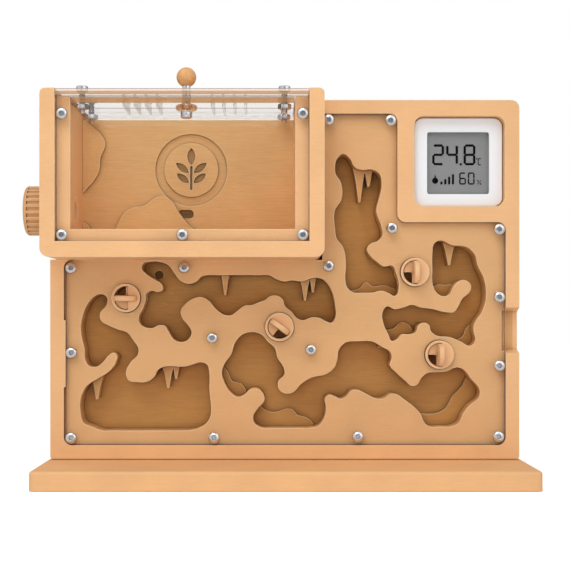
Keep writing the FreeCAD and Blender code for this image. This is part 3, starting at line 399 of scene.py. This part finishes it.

# the gates' deep parts and grooves are painted darker, as painted shade
gatePlastic = dict(plastic, face=srgb(238, 190, 142), coverShade=srgb(238, 190, 142), boxWallShade=srgb(150, 100, 54),
                   pitShade=srgb(150, 100, 54), grooveShade=srgb(132, 86, 46), lines=0.2, edges=tightEdges)
plainPlastic = dict(plastic, shadedWithDepth=False, cornerShadeShare=0.3)
# the base paints a contact shade where the nest stands in it
basePlastic = dict(plainPlastic, face=srgb(236, 184, 130), grooveShade=srgb(132, 86, 46), edges=tightEdges)
# the same plastic painted darker, as painted shade on the cap
shadedCapPlastic = dict(plainPlastic, face=srgb(218, 166, 112))

feedingBox = {"right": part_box("outworld_box")[1].x, "bottom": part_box("outworld_box")[0].z}
nestLow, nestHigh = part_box("nest_body")
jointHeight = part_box("base_plate")[1].z  # where the nest goes into the base
nestSkin = {"side": 2.0 * mm, "rear": 1.0 * mm, "top": 2.0 * mm, "fade": 0.5 * mm}


# 1 within the nest's outer faces and 0 on them
def withinNest(tree, place):
    middle = (nestLow.x + nestHigh.x) / 2
    aside = combine(tree, "ABSOLUTE", combine(tree, "SUBTRACT", place["X"], middle), 0.0)
    ends = ((aside, nestHigh.x - middle - nestSkin["side"]),
            (place["Y"], nestHigh.y - nestSkin["rear"]),
            (place["Z"], nestHigh.z - nestSkin["top"]))
    inside = 1.0
    for value, end in ends:
        within = remap(tree, value, end - nestSkin["fade"], end, 1.0, 0.0)
        inside = combine(tree, "MULTIPLY", inside, within)
    return inside


# a colour painted darker, as painted shade, from the nest's face down to its chamber floors, with a painted
# contact shadow along its foot, and the strength of the lines there
def paintedDepthShade(tree, look):
    place = split(tree, objectPlace(tree))
    inside = withinNest(tree, place)
    depth = remap(tree, place["Y"], look["faceEnds"], look["deepStarts"])
    depth = combine(tree, "MULTIPLY", depth, inside)
    border = look["boxBorder"]
    aside = remap(tree, place["X"], feedingBox["right"] - border, feedingBox["right"] + border)
    below = remap(tree, place["Z"], feedingBox["bottom"] + border, feedingBox["bottom"] - border)
    inChamber = combine(tree, "MAXIMUM", aside, below)
    coverShade = remap(tree, place["Y"], look["coverStarts"], look["faceEnds"])
    coverShade = combine(tree, "MULTIPLY", combine(tree, "MULTIPLY", coverShade, inside), inChamber)
    front = mixColour(tree, coverShade, look["face"], look["coverShade"])
    colour = mixColour(tree, depth, front, mixColour(tree, inChamber, look["boxWallShade"], look["pitShade"]))
    # a painted contact shadow along the nest's foot
    low, high = (jointHeight + above for above in look["jointShadowLine"])
    jointShadow = remap(tree, place["Z"], low, high, look["jointShadowShare"], 0.0)
    return mixColour(tree, jointShadow, colour, look["grooveShade"]), remap(tree, depth, 0.0, 1.0, look["lines"], 1.0)


# filled print plastic, with painted shade deep inside, in corners and in grooves, and a painted highlight
# on its edges
def printedPlastic(name, look):
    material, tree, shader = startMaterial(name, Specular_IOR_Level=look["specular"])
    speckle = useGroup(tree, plasticSpeckle)
    layer = useGroup(tree, layerLines)["Lines"]
    edges = useGroup(tree, look["edges"])
    colour, lines = paintedDepthShade(tree, look) if look["shadedWithDepth"] else (look["face"], look["lines"])
    cloud = remap(tree, speckle["Clouds"], *noiseSpan, *look["cloudTones"])
    grain = remap(tree, speckle["Grain"], *noiseSpan, *look["grainTones"])
    colour = mixColour(tree, 1.0, colour, combine(tree, "MULTIPLY", cloud, grain), "MULTIPLY")
    shade = remap(tree, layer, *look["lineSpan"], *look["lineTones"])
    colour = mixColour(tree, 1.0, colour, mixColour(tree, lines, white, shade), "MULTIPLY")
    # painted shade in corners and grooves, then a painted highlight on the edges
    corner = combine(tree, "MULTIPLY", edges["Corner"], look["cornerShadeShare"])
    colour = mixColour(tree, corner, colour, look["corner"])
    grooveShade = combine(tree, "MULTIPLY", edges["Groove"], look["grooveShadeShare"])
    colour = mixColour(tree, grooveShade, colour, look["grooveShade"])
    colour = mixColour(tree, edges["Edge"], colour, look["rim"])
    tree.links.new(colour, shader.inputs["Base Color"])
    middle, swing = look["roughness"], look["roughnessSwing"]
    rough = remap(tree, speckle["Clouds"], *noiseSpan, middle - swing, middle + swing)
    tree.links.new(rough, shader.inputs["Roughness"])
    height = combine(tree, "ADD", layer, combine(tree, "MULTIPLY", speckle["Grain"], look["grainInRelief"]))
    relief = bump(tree, height, look["relief"], look["reliefDepth"], edges["Normal"])
    tree.links.new(relief, shader.inputs["Normal"])
    return material


# Part of the light goes straight through, and all the light of the lamps.
def letThrough(tree, shader, tint, share):
    seeThrough = tree.nodes.new("ShaderNodeBsdfTransparent")
    if isinstance(tint, tuple):
        seeThrough.inputs["Color"].default_value = tint
    else:
        tree.links.new(tint, seeThrough.inputs["Color"])
    shadow = tree.nodes.new("ShaderNodeLightPath").outputs["Is Shadow Ray"]
    amount = combine(tree, "MAXIMUM", shadow, share)
    either = tree.nodes.new("ShaderNodeMixShader")
    tree.links.new(amount, either.inputs["Fac"])
    tree.links.new(shader.outputs[0], either.inputs[1])
    tree.links.new(seeThrough.outputs[0], either.inputs[2])
    tree.links.new(either.outputs[0], tree.nodes["Material Output"].inputs["Surface"])


acrylic = {"index": 1.49, "smearsPerMetre": 60.0, "smearSpan": (0.4, 0.7), "smearRoughness": 2.0}


def clearAcrylic(name, tint, roughness, share):
    material, tree, shader = startMaterial(name, Base_Color=tint, IOR=acrylic["index"],
                                           Transmission_Weight=1.0)
    smears = noise(tree, objectPlace(tree), acrylic["smearsPerMetre"], detail=3.0)
    rough = remap(tree, smears, *acrylic["smearSpan"], roughness, acrylic["smearRoughness"] * roughness)
    tree.links.new(rough, shader.inputs["Roughness"])
    letThrough(tree, shader, tint, share)
    return material


cutEdge = {
    "roughness": 0.18,
    "flecksPerMetre": 900.0,
    "fleckStretch": (0.25, 1, 3),
    "fleckHeight": 0.5 * mm,
    "fleckSpan": (0.35, 0.7),
    "fleckTone": 0.8,
    "fade": 0.08,  # half the share of the height over which the bands meet
    "topLine": srgb(196, 180, 170),
    "topLineDrop": (0.55 * mm, 0.4 * mm),  # below the top, where it starts and is full
    "share": 0.4,  # of the light that goes straight through
}


# The cut edge of a clear sheet, with a painted reflection of the colours around it in two bands. They meet
# at turn, a share of the way from low to high.
def paintedReflectionEdge(name, pale, dark, low, high, turn, share=cutEdge["share"]):
    material, tree, shader = startMaterial(name, Roughness=cutEdge["roughness"])
    place = split(tree, objectPlace(tree))
    flecks = noise(tree, objectPlace(tree, cutEdge["fleckStretch"]), cutEdge["flecksPerMetre"], detail=3.0)
    height = combine(tree, "ADD", place["Z"], combine(tree, "MULTIPLY", flecks, cutEdge["fleckHeight"]))
    starts, ends = (low + (high - low) * (turn + fade) for fade in (-cutEdge["fade"], cutEdge["fade"]))
    darker = tuple(cutEdge["fleckTone"] * part for part in dark[:3]) + (1,)
    base = mixColour(tree, remap(tree, flecks, *cutEdge["fleckSpan"]), dark, darker)
    colour = mixColour(tree, remap(tree, height, starts, ends), base, pale)
    # a painted grey line just below the top
    starts, ends = (high - drop for drop in cutEdge["topLineDrop"])
    colour = mixColour(tree, remap(tree, place["Z"], starts, ends), colour, cutEdge["topLine"])
    tree.links.new(colour, shader.inputs["Base Color"])
    letThrough(tree, shader, colour, share)
    return material


def plainEdge(name, colour):
    material, tree, shader = startMaterial(name, Base_Color=colour, Roughness=cutEdge["roughness"])
    letThrough(tree, shader, colour, cutEdge["share"])
    return material


metal = {
    "cloudsPerMetre": 900.0,
    "cloudTones": (0.9, 1.0),  # these and the painted shade in the recesses multiply the colour
    "marksPerMetre": 4000.0,
    "markStretch": (1, 1, 0.2),
    "recessShadeWidth": 1.2 * mm,
    "recessShadeSpan": (0.0, 0.8),
    "recessShadeTones": (1.0, 0.35),
    "roughnessSwing": 0.3,
    "relief": 0.1,
    "reliefDepth": 0.02 * mm,
}


# machined metal with fine tool marks, and painted shade in its recesses
def brightMetal(name, colour, roughness):
    material, tree, shader = startMaterial(name, Metallic=1.0)
    clouds = noise(tree, objectPlace(tree), metal["cloudsPerMetre"], detail=3.0)
    marks = noise(tree, objectPlace(tree, metal["markStretch"]), metal["marksPerMetre"])
    recessShade = useGroup(tree, softEdges, Corner=metal["recessShadeWidth"])["Corner"]
    dull = remap(tree, clouds, *noiseSpan, *metal["cloudTones"])
    tone = combine(tree, "MULTIPLY", dull, remap(tree, recessShade, *metal["recessShadeSpan"], *metal["recessShadeTones"]))
    tree.links.new(mixColour(tree, 1.0, colour, tone, "MULTIPLY"), shader.inputs["Base Color"])
    least, most = (roughness * (1 + swing) for swing in (-metal["roughnessSwing"], metal["roughnessSwing"]))
    tree.links.new(remap(tree, marks, *noiseSpan, least, most), shader.inputs["Roughness"])
    tree.links.new(bump(tree, marks, metal["relief"], metal["reliefDepth"]), shader.inputs["Normal"])
    return material


beech = {
    "pale": srgb(236, 180, 118),
    "ring": srgb(224, 162, 100),
    "ringsPerMetre": 420.0,
    "ringStretch": (1.0, 0.35, 1.6),
    "ringSpan": (0.35, 0.65),
    "pore": srgb(160, 102, 54),
    "poresPerMetre": 1500.0,
    "poreStretch": (4.0, 0.6, 4.0),
    "poreSpan": (0.62, 0.75),
    "poreShare": 0.5,
    "roughSpan": (0.3, 0.8),  # the stretch of the pores' noise that the roughness follows
    "roughness": (0.42, 0.6),
    "relief": 0.15,
    "reliefDepth": 0.05 * mm,
}


# pale beech with growth rings and short pores
def turnedWood(name):
    material, tree, shader = startMaterial(name)
    rings = noise(tree, objectPlace(tree, beech["ringStretch"]), beech["ringsPerMetre"],
                  detail=3.0, roughness=0.6)
    pores = noise(tree, objectPlace(tree, beech["poreStretch"]), beech["poresPerMetre"])
    colour = mixColour(tree, remap(tree, rings, *beech["ringSpan"]), beech["ring"], beech["pale"])
    inPore = remap(tree, pores, *beech["poreSpan"], 0.0, beech["poreShare"])
    tree.links.new(mixColour(tree, inPore, colour, beech["pore"]), shader.inputs["Base Color"])
    rough = remap(tree, pores, *beech["roughSpan"], *beech["roughness"])
    tree.links.new(rough, shader.inputs["Roughness"])
    tree.links.new(bump(tree, pores, beech["relief"], beech["reliefDepth"]), shader.inputs["Normal"])
    return material


skin = {
    "grainPerMetre": 3500.0,
    "roughnessSwing": 0.05,
    "edgeRadius": 0.3 * mm,
    "relief": 0.08,
    "reliefDepth": 0.03 * mm,
}


# moulded plastic with a fine matt skin and softened edges
def smoothPlastic(name, colour, roughness, variation=0.03, specular=0.5):
    material, tree, shader = startMaterial(name, Specular_IOR_Level=specular)
    grain = noise(tree, objectPlace(tree), skin["grainPerMetre"])
    tone = remap(tree, grain, *noiseSpan, 1.0 - variation, 1.0)
    tree.links.new(mixColour(tree, 1.0, colour, tone, "MULTIPLY"), shader.inputs["Base Color"])
    swing = skin["roughnessSwing"]
    rough = remap(tree, grain, *noiseSpan, roughness - swing, roughness + swing)
    tree.links.new(rough, shader.inputs["Roughness"])
    softened = useGroup(tree, softEdges, Radius=skin["edgeRadius"])["Normal"]
    relief = bump(tree, grain, skin["relief"], skin["reliefDepth"], softened)
    tree.links.new(relief, shader.inputs["Normal"])
    return material


lidLow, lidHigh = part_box("lid_lower_plate")[0].z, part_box("lid_top_plate")[1].z
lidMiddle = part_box("lid_top_plate")[0].z

finish = {
    "nest": printedPlastic("printedNest", plastic),
    "plain": printedPlastic("printedPlain", plainPlastic),
    "base": printedPlastic("printedBase", basePlastic),
    "cap": printedPlastic("printedCapShaded", shadedCapPlastic),
    "gate": printedPlastic("printedGate", gatePlastic),
    "acrylic": clearAcrylic("clearAcrylic", (0.99, 0.992, 0.994, 1), 0.003, share=0.94),
    "lidAcrylic": clearAcrylic("lidAcrylic", (0.985, 0.98, 0.975, 1), 0.002, share=0.95),
    "tan": clearAcrylic("tanAcrylic", (0.86, 0.66, 0.48, 1), 0.08, share=0.3),
    "topEdge": paintedReflectionEdge("lidTopEdge", srgb(252, 236, 224), srgb(214, 174, 136), lidMiddle, lidHigh, 0.68),
    "lowEdge": paintedReflectionEdge("lidLowEdge", srgb(255, 250, 244), srgb(216, 170, 122), lidLow, lidMiddle, 1.12),
    "slitEdge": paintedReflectionEdge("lidSlitEdge", srgb(250, 248, 246), srgb(246, 242, 238), lidLow, lidHigh, 0.7,
                           share=0.9),
    "greyEdge": plainEdge("sheetEdge", cutEdge["topLine"]),
    "steel": brightMetal("brightSteel", (0.74, 0.75, 0.78, 1), 0.2),
    "brass": brightMetal("insertBrass", (0.78, 0.58, 0.28, 1), 0.3),
    "wood": turnedWood("turnedWood"),
    "white": smoothPlastic("meterWhite", srgb(246, 250, 255), 0.5),
    "display": smoothPlastic("displayGrey", srgb(138, 139, 139), 0.6),
    "ink": smoothPlastic("displayInk", srgb(10, 11, 12), 0.7, variation=0.2, specular=0.05),
    "board": smoothPlastic("boardGreen", srgb(28, 92, 58), 0.4, variation=0.15),
}

nodeFinish = {
    "nest": ("nest_body",),
    "plain": ("outworld_box", "port_nipple"),
    "base": ("base_plate",),
    "cap": ("port_cap",),
    "gate": tuple(f"gate_{part}_{number}" for part in ("seat", "rotor") for number in (1, 2, 3, 4)),
    "brass": ("cover_inserts", "window_inserts", "box_inserts", "base_inserts"),
    "steel": ("meter_coin_cell", "knob_stud"),
    "wood": ("knob_ball",),
    "white": ("meter_housing", "meter_back_cover"),
    "display": ("meter_screen",),
    "board": ("meter_board",),
}

for look, names in nodeFinish.items():
    for name in names:
        for slot in nodes[name].material_slots:
            slot.material = finish[look]
print("materials on the nodes:", sum(len(names) for names in nodeFinish.values()))


def makeActive(piece):
    bpy.ops.object.select_all(action="DESELECT")
    piece.select_set(True)
    bpy.context.view_layer.objects.active = piece


def openEdit(piece):
    makeActive(piece)
    bpy.ops.object.mode_set(mode="EDIT")


def closeEdit():
    bpy.ops.object.mode_set(mode="OBJECT")
    bpy.ops.object.select_all(action="DESELECT")


def smooth(piece, angle=30):
    makeActive(piece)
    bpy.ops.object.shade_smooth_by_angle(angle=math.radians(angle))
    bpy.ops.object.select_all(action="DESELECT")


def applyChange(piece, change):
    bpy.ops.object.select_all(action="DESELECT")
    bpy.context.view_layer.objects.active = piece
    bpy.ops.object.modifier_apply(modifier=change.name)


# leaves only the corners that pass the test selected, in edit mode
def pickCorners(piece, test):
    openEdit(piece)
    bpy.ops.mesh.select_mode(type="VERT")
    bpy.ops.mesh.select_all(action="DESELECT")
    bpy.ops.object.mode_set(mode="OBJECT")
    for corner in piece.data.vertices:
        corner.select = test(corner.co)
    bpy.ops.object.mode_set(mode="EDIT")


mergeWithin = 0.002 * mm


# a merged copy of a node's mesh, to be finished by hand
def copyOfNode(node, name):
    piece = bpy.data.objects.new(name, nodes[node].data.copy())
    bpy.context.scene.collection.objects.link(piece)
    piece.data.name = name
    openEdit(piece)
    bpy.ops.mesh.select_all(action="SELECT")
    bpy.ops.mesh.customdata_custom_splitnormals_clear()
    bpy.ops.mesh.remove_doubles(threshold=mergeWithin)
    closeEdit()
    return piece


def handOver(piece, material, body, node):
    if not piece.data.materials:
        piece.data.materials.append(finish[material])
    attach(piece, body)
    if node:
        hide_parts(node)


# the boxes round each separate solid of a node
def solidsOf(node):
    mesh = nodes[node].data
    leader = {}

    def first(key):
        while leader[key] != key:
            key = leader[key]
        return key

    for face in mesh.polygons:
        keys = [tuple(round(c, 6) for c in mesh.vertices[i].co) for i in face.vertices]  # to a micrometre
        for key in keys:
            leader.setdefault(key, key)
        for key in keys[1:]:
            leader[first(key)] = first(keys[0])
    groups = {}
    for key in leader:
        groups.setdefault(first(key), []).append(key)
    boxes = []
    for keys in groups.values():
        low = Vector([min(key[axis] for key in keys) for axis in range(3)])
        high = Vector([max(key[axis] for key in keys) for axis in range(3)])
        boxes.append((low, high))
    return boxes


sheets = {
    "seatGap": 0.03 * mm,  # air left between a sheet and what it lies on
    "edgeWithin": 1.5 * mm,  # how near the sheet's outline a wall of its outer edge lies
    "squareOn": 0.9,  # a face looks along an axis when its normal has more than this along it
    "fixingReach": 4.0 * mm,  # a wall nearer a fixing's middle than this is a hole's and not a slit's
    "pieces": {  # node: (piece, body, material, edge)
        "nest_cover": ("coverSheet", "root", "acrylic", "greyEdge"),
        "outworld_window": ("windowSheet", "root", "acrylic", "greyEdge"),
        "lid_top_plate": ("lidTopSheet", "lid", "lidAcrylic", "topEdge"),
        "lid_lower_plate": ("lidLowerSheet", "lid", "lidAcrylic", "lowEdge"),
    },
}

fixings = [(low + high) / 2 for node in ("lid_bolts", "knob_stud") for low, high in solidsOf(node)]


# the faces of a sheet's outer edge, except a flat sheet's rear one, which gets the look of its slits
def onOuterEdge(face, low, high, thin):
    if thin == 2 and face.normal.y > sheets["squareOn"]:
        return False
    for axis in range(3):
        if axis != thin and abs(face.normal[axis]) > sheets["squareOn"]:
            middle = face.center[axis]
            if min(middle - low[axis], high[axis] - middle) < sheets["edgeWithin"]:
                return True
    return False


# the walls of a flat sheet's slits and its rear edge, away from the holes of its screws
def onSlit(face, thin):
    clear = all((face.center - hole).xy.length > sheets["fixingReach"] for hole in fixings)
    return thin == 2 and abs(face.normal.z) < sheets["squareOn"] and clear


for node, (name, body, material, edge) in sheets["pieces"].items():
    sheet = copyOfNode(node, name)
    openEdit(sheet)
    bpy.ops.mesh.select_all(action="SELECT")
    bpy.ops.transform.shrink_fatten(value=-sheets["seatGap"])
    closeEdit()
    low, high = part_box(node)
    size = high - low
    thin = min(range(3), key=lambda axis: size[axis])
    sheet.data.materials.clear()
    for look in (material, edge, "slitEdge") if thin == 2 else (material, edge):
        sheet.data.materials.append(finish[look])
    for face in sheet.data.polygons:
        face.material_index = 1 if onOuterEdge(face, low, high, thin) else 2 if onSlit(face, thin) else 0
    smooth(sheet)
    handOver(sheet, material, body, node)
print("clear sheets made")


# a turned piece along Z: rings of (radius, height) in millimetres, from the bottom up
def turned(name, rings, corners=32):
    radius, height = rings[0]
    bpy.ops.mesh.primitive_circle_add(vertices=corners, radius=radius * mm, fill_type="NGON",
                                      location=(0, 0, 0))
    piece = bpy.context.object
    piece.name = piece.data.name = name
    openEdit(piece)
    bpy.ops.mesh.select_all(action="SELECT")
    bpy.ops.transform.translate(value=(0, 0, height * mm))
    for nextRadius, nextHeight in rings[1:]:
        rise = (0, 0, (nextHeight - height) * mm)
        bpy.ops.mesh.extrude_region_move(TRANSFORM_OT_translate={"value": rise})
        share = nextRadius / radius
        bpy.ops.transform.resize(value=(share, share, 1), center_override=(0, 0, nextHeight * mm))
        radius, height = nextRadius, nextHeight
    bpy.ops.mesh.select_all(action="SELECT")
    bpy.ops.mesh.normals_make_consistent(inside=False)
    closeEdit()
    return piece


# a hexagon bar along Z, its width across flats and its ends in millimetres
def hexRod(width, low, high):
    bpy.ops.mesh.primitive_cylinder_add(vertices=6, radius=width / 2 / math.cos(math.pi / 6) * mm,
                                        depth=(high - low) * mm, location=(0, 0, (low + high) / 2 * mm),
                                        rotation=(0, 0, math.pi / 6))
    rod = bpy.context.object
    bpy.ops.object.transform_apply(location=True, rotation=True, scale=True)
    return rod


def carve(piece, tool, operation="DIFFERENCE"):
    change = piece.modifiers.new("carve", "BOOLEAN")
    change.operation = operation
    change.solver = "EXACT"
    change.object = tool
    applyChange(piece, change)
    bpy.data.objects.remove(tool)


def breakEdges(piece, width, angle):
    change = piece.modifiers.new("breakEdges", "BEVEL")
    change.width = width * mm
    change.segments = 1
    change.limit_method = "ANGLE"
    change.angle_limit = math.radians(angle)
    applyChange(piece, change)


screws = {  # in millimetres
    "radius": 1.45,
    "threadDepth": 0.22,
    "pitch": 0.5,
    "tipTaper": 0.3,
    "tipLength": 0.4,
    "corners": 36,
    "brokenEdge": 0.05,
    "turnBetween": 47,  # degrees, so that no two sockets stand alike
}

buttonDome = [(2.85, 0.0), (2.85, 0.3), (2.74, 0.72), (2.5, 1.08), (2.16, 1.38), (1.8, 1.56), (1.45, 1.65)]
screwHeads = {  # profile above the seat, socket's width across flats and its floor above the seat
    "button": (buttonDome, 2.0, 0.65),
    "cap": ([(2.75, 0.0), (2.75, 2.1), (2.5, 2.4)], 2.5, 1.1),
}


# rings of a screw's shank from its tip up to the head's seat, with thread ridges
def shankRings(length):
    radius, core, pitch = screws["radius"], screws["radius"] - screws["threadDepth"], screws["pitch"]
    rings = [(core - screws["tipTaper"], -length)]
    height = -length + screws["tipLength"]
    while height < -pitch:
        rings += [(core, height), (radius, height + pitch / 2)]
        height += pitch
    return rings + [(core, height), (core, 0.0)]


def makeScrew(name, kind, length):
    head, socketWidth, socketFloor = screwHeads[kind]
    screw = turned(name, shankRings(length) + head, screws["corners"])
    carve(screw, hexRod(socketWidth, socketFloor, head[-1][1] + 1))  # out past the head's top
    breakEdges(screw, screws["brokenEdge"], angle=50)
    smooth(screw, angle=38)
    return screw


# copies the pattern to each place, each copy with its own mesh, and joins them into one piece
def setOut(pattern, name, places):
    copies = []
    for place in places:
        copy = pattern.copy()
        copy.data = pattern.data.copy()
        bpy.context.scene.collection.objects.link(copy)
        copy.matrix_world = place
        copies.append(copy)
    bpy.data.objects.remove(pattern)
    bpy.ops.object.select_all(action="DESELECT")
    for copy in copies:
        copy.select_set(True)
    bpy.context.view_layer.objects.active = copies[0]
    if len(copies) > 1:
        bpy.ops.object.join()
    bpy.ops.object.transform_apply(location=True, rotation=True, scale=True)
    piece = bpy.context.object
    piece.name = piece.data.name = name
    return piece


towards = {  # turns +Z of a pattern to the way a screw's head faces
    "front": Matrix.Rotation(math.pi / 2, 4, "X"),
    "back": Matrix.Rotation(-math.pi / 2, 4, "X"),
    "down": Matrix.Rotation(math.pi, 4, "X"),
    "up": Matrix.Identity(4),
}

screwSets = {  # node: (piece, body, way the heads face, kind)
    "cover_screws": ("coverScrewSet", "root", "front", "button"),
    "window_screws": ("windowScrewSet", "root", "front", "button"),
    "box_screws": ("boxScrewSet", "root", "back", "button"),
    "base_screws": ("baseScrewSet", "root", "down", "button"),
    "lid_bolts": ("lidBoltSet", "lid", "up", "cap"),
}

for node, (name, body, way, kind) in screwSets.items():
    head = screwHeads[kind][0]
    headHeight = head[-1][1] * mm
    axis = 1 if way in ("front", "back") else 2
    places = []
    for number, (low, high) in enumerate(solidsOf(node)):
        seat = (low + high) / 2
        seat[axis] = low[axis] + headHeight if way in ("front", "down") else high[axis] - headHeight
        length = (high[axis] - low[axis] - headHeight) / mm
        spin = Matrix.Rotation(math.radians(screws["turnBetween"] * number), 4, "Z")
        places.append(Matrix.Translation(seat) @ towards[way] @ spin)
    pattern = makeScrew("screwPattern", kind, length)
    handOver(setOut(pattern, name, places), "steel", body, node)
print("screws set out")


lidHardware = {  # widths and heights in millimetres, profiles as rings of (radius, height)
    "nutWidth": 5.5,
    "nutHeight": 2.4,
    "nutChamfer": [(2.7, 0.0), (3.25, 0.32), (3.25, 2.08), (2.7, 2.4)],
    "nutBore": [(1.7, -0.1), (1.7, 0.02), (1.5, 0.22), (1.5, 2.18), (1.7, 2.38), (1.7, 2.5)],
    "nutEdge": 0.06,
    "washer": [(4.2, 0.0), (4.75, 0.35), (5.05, 0.9), (5.1, 1.35), (5.05, 1.8), (4.75, 2.35), (4.2, 2.7)],
    "washerBore": [(2.0, -1), (2.0, 4)],
    "sleeve": [(2.1, 0.0), (2.45, 0.18), (2.7, 0.5), (2.7, 3.3), (2.5, 3.6)],
    "sleeveBore": [(1.95, 0.8), (1.95, 5)],  # blind from above
    "corners": 48,
}


def makeNut():
    nut = hexRod(lidHardware["nutWidth"], 0, lidHardware["nutHeight"])
    carve(nut, turned("nutChamfer", lidHardware["nutChamfer"]), "INTERSECT")
    carve(nut, turned("nutBore", lidHardware["nutBore"]))
    breakEdges(nut, lidHardware["nutEdge"], angle=40)
    smooth(nut)
    return nut


# a turned piece with a bore, both profiles by their names in lidHardware
def makeRing(outside, bore):
    ring = turned(outside, lidHardware[outside], lidHardware["corners"])
    carve(ring, turned(bore, lidHardware[bore]))
    smooth(ring, angle=40)
    return ring


# a place at the foot of each separate solid of a node
def atFoot(node):
    places = []
    for low, high in solidsOf(node):
        foot = (low + high) / 2
        foot.z = low.z
        places.append(Matrix.Translation(foot))
    return places


handOver(setOut(makeNut(), "lidNutSet", atFoot("lid_nuts")), "steel", "lid", "lid_nuts")
disc = setOut(makeRing("washer", "washerBore"), "knobWasherDisc", atFoot("knob_washer"))
handOver(disc, "tan", "lid", "knob_washer")
sleeve = setOut(makeRing("sleeve", "sleeveBore"), "knobSleeve", atFoot("knob_nut"))
handOver(sleeve, "steel", "lid", "knob_nut")
print("lid hardware made")


display = {  # in millimetres, places as (x, z) from the panel's middle
    "figures": [  # letters, their left ends, their foot, and the width, height and stroke of each
        ("248", (-12.4, -5.55, 3.0), -0.8, (5.8, 10.3, 1.15)),
        ("60", (0.85, 5.1), -10.3, (3.3, 6.0, 0.68)),
        ("C", (10.0,), -0.8, (1.8, 3.5, 0.42)),
    ],
    "strokeEnd": 0.1,  # share of the stroke left clear at each end
    "dots": [  # place and radius: the decimal point, the degree mark and the two of the percent mark
        ((1.6, -0.3), 0.6),
        ((9.5, 2.4), 0.36),
        ((10.05, -8.45), 0.38),
        ((11.35, -9.95), 0.38),
    ],
    "percentStroke": ((9.7, -10.2), (11.7, -8.2), 0.32, 0.08),  # ends, stroke, what stays clear at each
    "drop": ((-11.0, -8.4), 1.5, 1.7),  # place, radius, and how far its tip is drawn up
    "bars": ((-7.9, 1.6), (-6.0, 2.8), (-4.1, 4.0), (-2.2, 5.2)),  # place and height of the gauge's bars
    "barStroke": 1.0,
    "barsFoot": -10.3,
    "inkDepth": 0.06,
    "inkLift": 0.02,  # off the panel
    "glassGap": 0.25,  # taken off the window's back, as room for the ink
}

segmentsOf = {"0": "abcdef", "2": "abdeg", "4": "bcfg", "6": "acdefg", "8": "abcdefg", "C": "adef"}


# one elongated hexagon of ink between two points of the panel's face
def inkStroke(start, end, stroke, gap):
    run = Vector((end[0] - start[0], 0, end[1] - start[1]))
    radius = stroke / math.sqrt(3)
    bpy.ops.mesh.primitive_circle_add(vertices=6, radius=radius * mm, fill_type="NGON",
                                      rotation=(0, 0, math.pi / 6))
    piece = bpy.context.object
    bpy.ops.object.transform_apply(location=False, rotation=True, scale=False)
    half = max(0.0, run.length - 2 * gap - 2 * radius) / 2 * mm
    for side in (1, -1):
        pickCorners(piece, lambda corner: corner.x * side > 0.01 * stroke * mm)
        bpy.ops.transform.translate(value=(side * half, 0, 0))
        closeEdit()
    middle = Vector(((start[0] + end[0]) / 2, 0, (start[1] + end[1]) / 2)) * mm
    angle = math.atan2(run.z, run.x)
    piece.matrix_world = Matrix.Translation(middle) @ Matrix.Rotation(-angle, 4, "Y") @ towards["front"]
    return piece


def inkDot(place, radius):
    bpy.ops.mesh.primitive_circle_add(vertices=20, radius=radius * mm, fill_type="NGON")
    piece = bpy.context.object
    piece.matrix_world = Matrix.Translation(Vector((place[0], 0, place[1])) * mm) @ towards["front"]
    return piece


def inkDigit(letter, left, foot, size):
    width, height, stroke = size
    x0, x1 = left + stroke / 2, left + width - stroke / 2
    z0, z2 = foot + stroke / 2, foot + height - stroke / 2
    z1 = (z0 + z2) / 2
    ends = {"a": ((x0, z2), (x1, z2)), "b": ((x1, z1), (x1, z2)), "c": ((x1, z0), (x1, z1)),
            "d": ((x0, z0), (x1, z0)), "e": ((x0, z0), (x0, z1)), "f": ((x0, z1), (x0, z2)),
            "g": ((x0, z1), (x1, z1))}
    clear = display["strokeEnd"] * stroke
    return [inkStroke(*ends[part], stroke, clear) for part in segmentsOf[letter]]


def inkDrop(place, radius, rise):
    drop = inkDot(place, radius)
    bpy.ops.object.transform_apply(location=False, rotation=True, scale=False)
    pickCorners(drop, lambda corner: corner.z > 0.97 * radius * mm)  # its topmost corner alone
    bpy.ops.transform.translate(value=(0, 0, rise * mm))
    closeEdit()
    return drop


def makeDisplayInk():
    strokes = []
    for letters, lefts, foot, size in display["figures"]:
        for letter, left in zip(letters, lefts):
            strokes += inkDigit(letter, left, foot, size)
    strokes += [inkDot(place, radius) for place, radius in display["dots"]]
    strokes += [inkStroke(*display["percentStroke"]), inkDrop(*display["drop"])]
    foot = display["barsFoot"]
    strokes += [inkStroke((x, foot), (x, foot + height), display["barStroke"], 0.0)
                for x, height in display["bars"]]
    bpy.ops.object.select_all(action="DESELECT")
    for stroke in strokes:
        stroke.select_set(True)
    bpy.context.view_layer.objects.active = strokes[0]
    bpy.ops.object.join()
    bpy.ops.object.transform_apply(location=True, rotation=True, scale=True)
    ink = bpy.context.object
    ink.name = ink.data.name = "displayInk"
    low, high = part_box("meter_screen")
    face = Vector(((low.x + high.x) / 2, low.y - display["inkLift"] * mm, (low.z + high.z) / 2))
    openEdit(ink)
    bpy.ops.mesh.select_all(action="SELECT")
    bpy.ops.transform.translate(value=face)
    bpy.ops.mesh.extrude_region_move(TRANSFORM_OT_translate={"value": (0, -display["inkDepth"] * mm, 0)})
    bpy.ops.mesh.select_all(action="SELECT")
    bpy.ops.mesh.normals_make_consistent(inside=False)
    closeEdit()
    return ink


handOver(makeDisplayInk(), "ink", "meter", None)


# the display's window, thin enough to leave room for the ink
glass = copyOfNode("meter_lens", "meterGlass")
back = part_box("meter_lens")[1].y
pickCorners(glass, lambda corner: corner.y > back - 0.01 * mm)
bpy.ops.transform.translate(value=(0, -display["glassGap"] * mm, 0))
bpy.ops.mesh.select_all(action="SELECT")
bpy.ops.transform.shrink_fatten(value=-sheets["seatGap"])
closeEdit()
glass.data.materials.clear()
smooth(glass)
handOver(glass, "acrylic", "meter", "meter_lens")
print("meter finished")
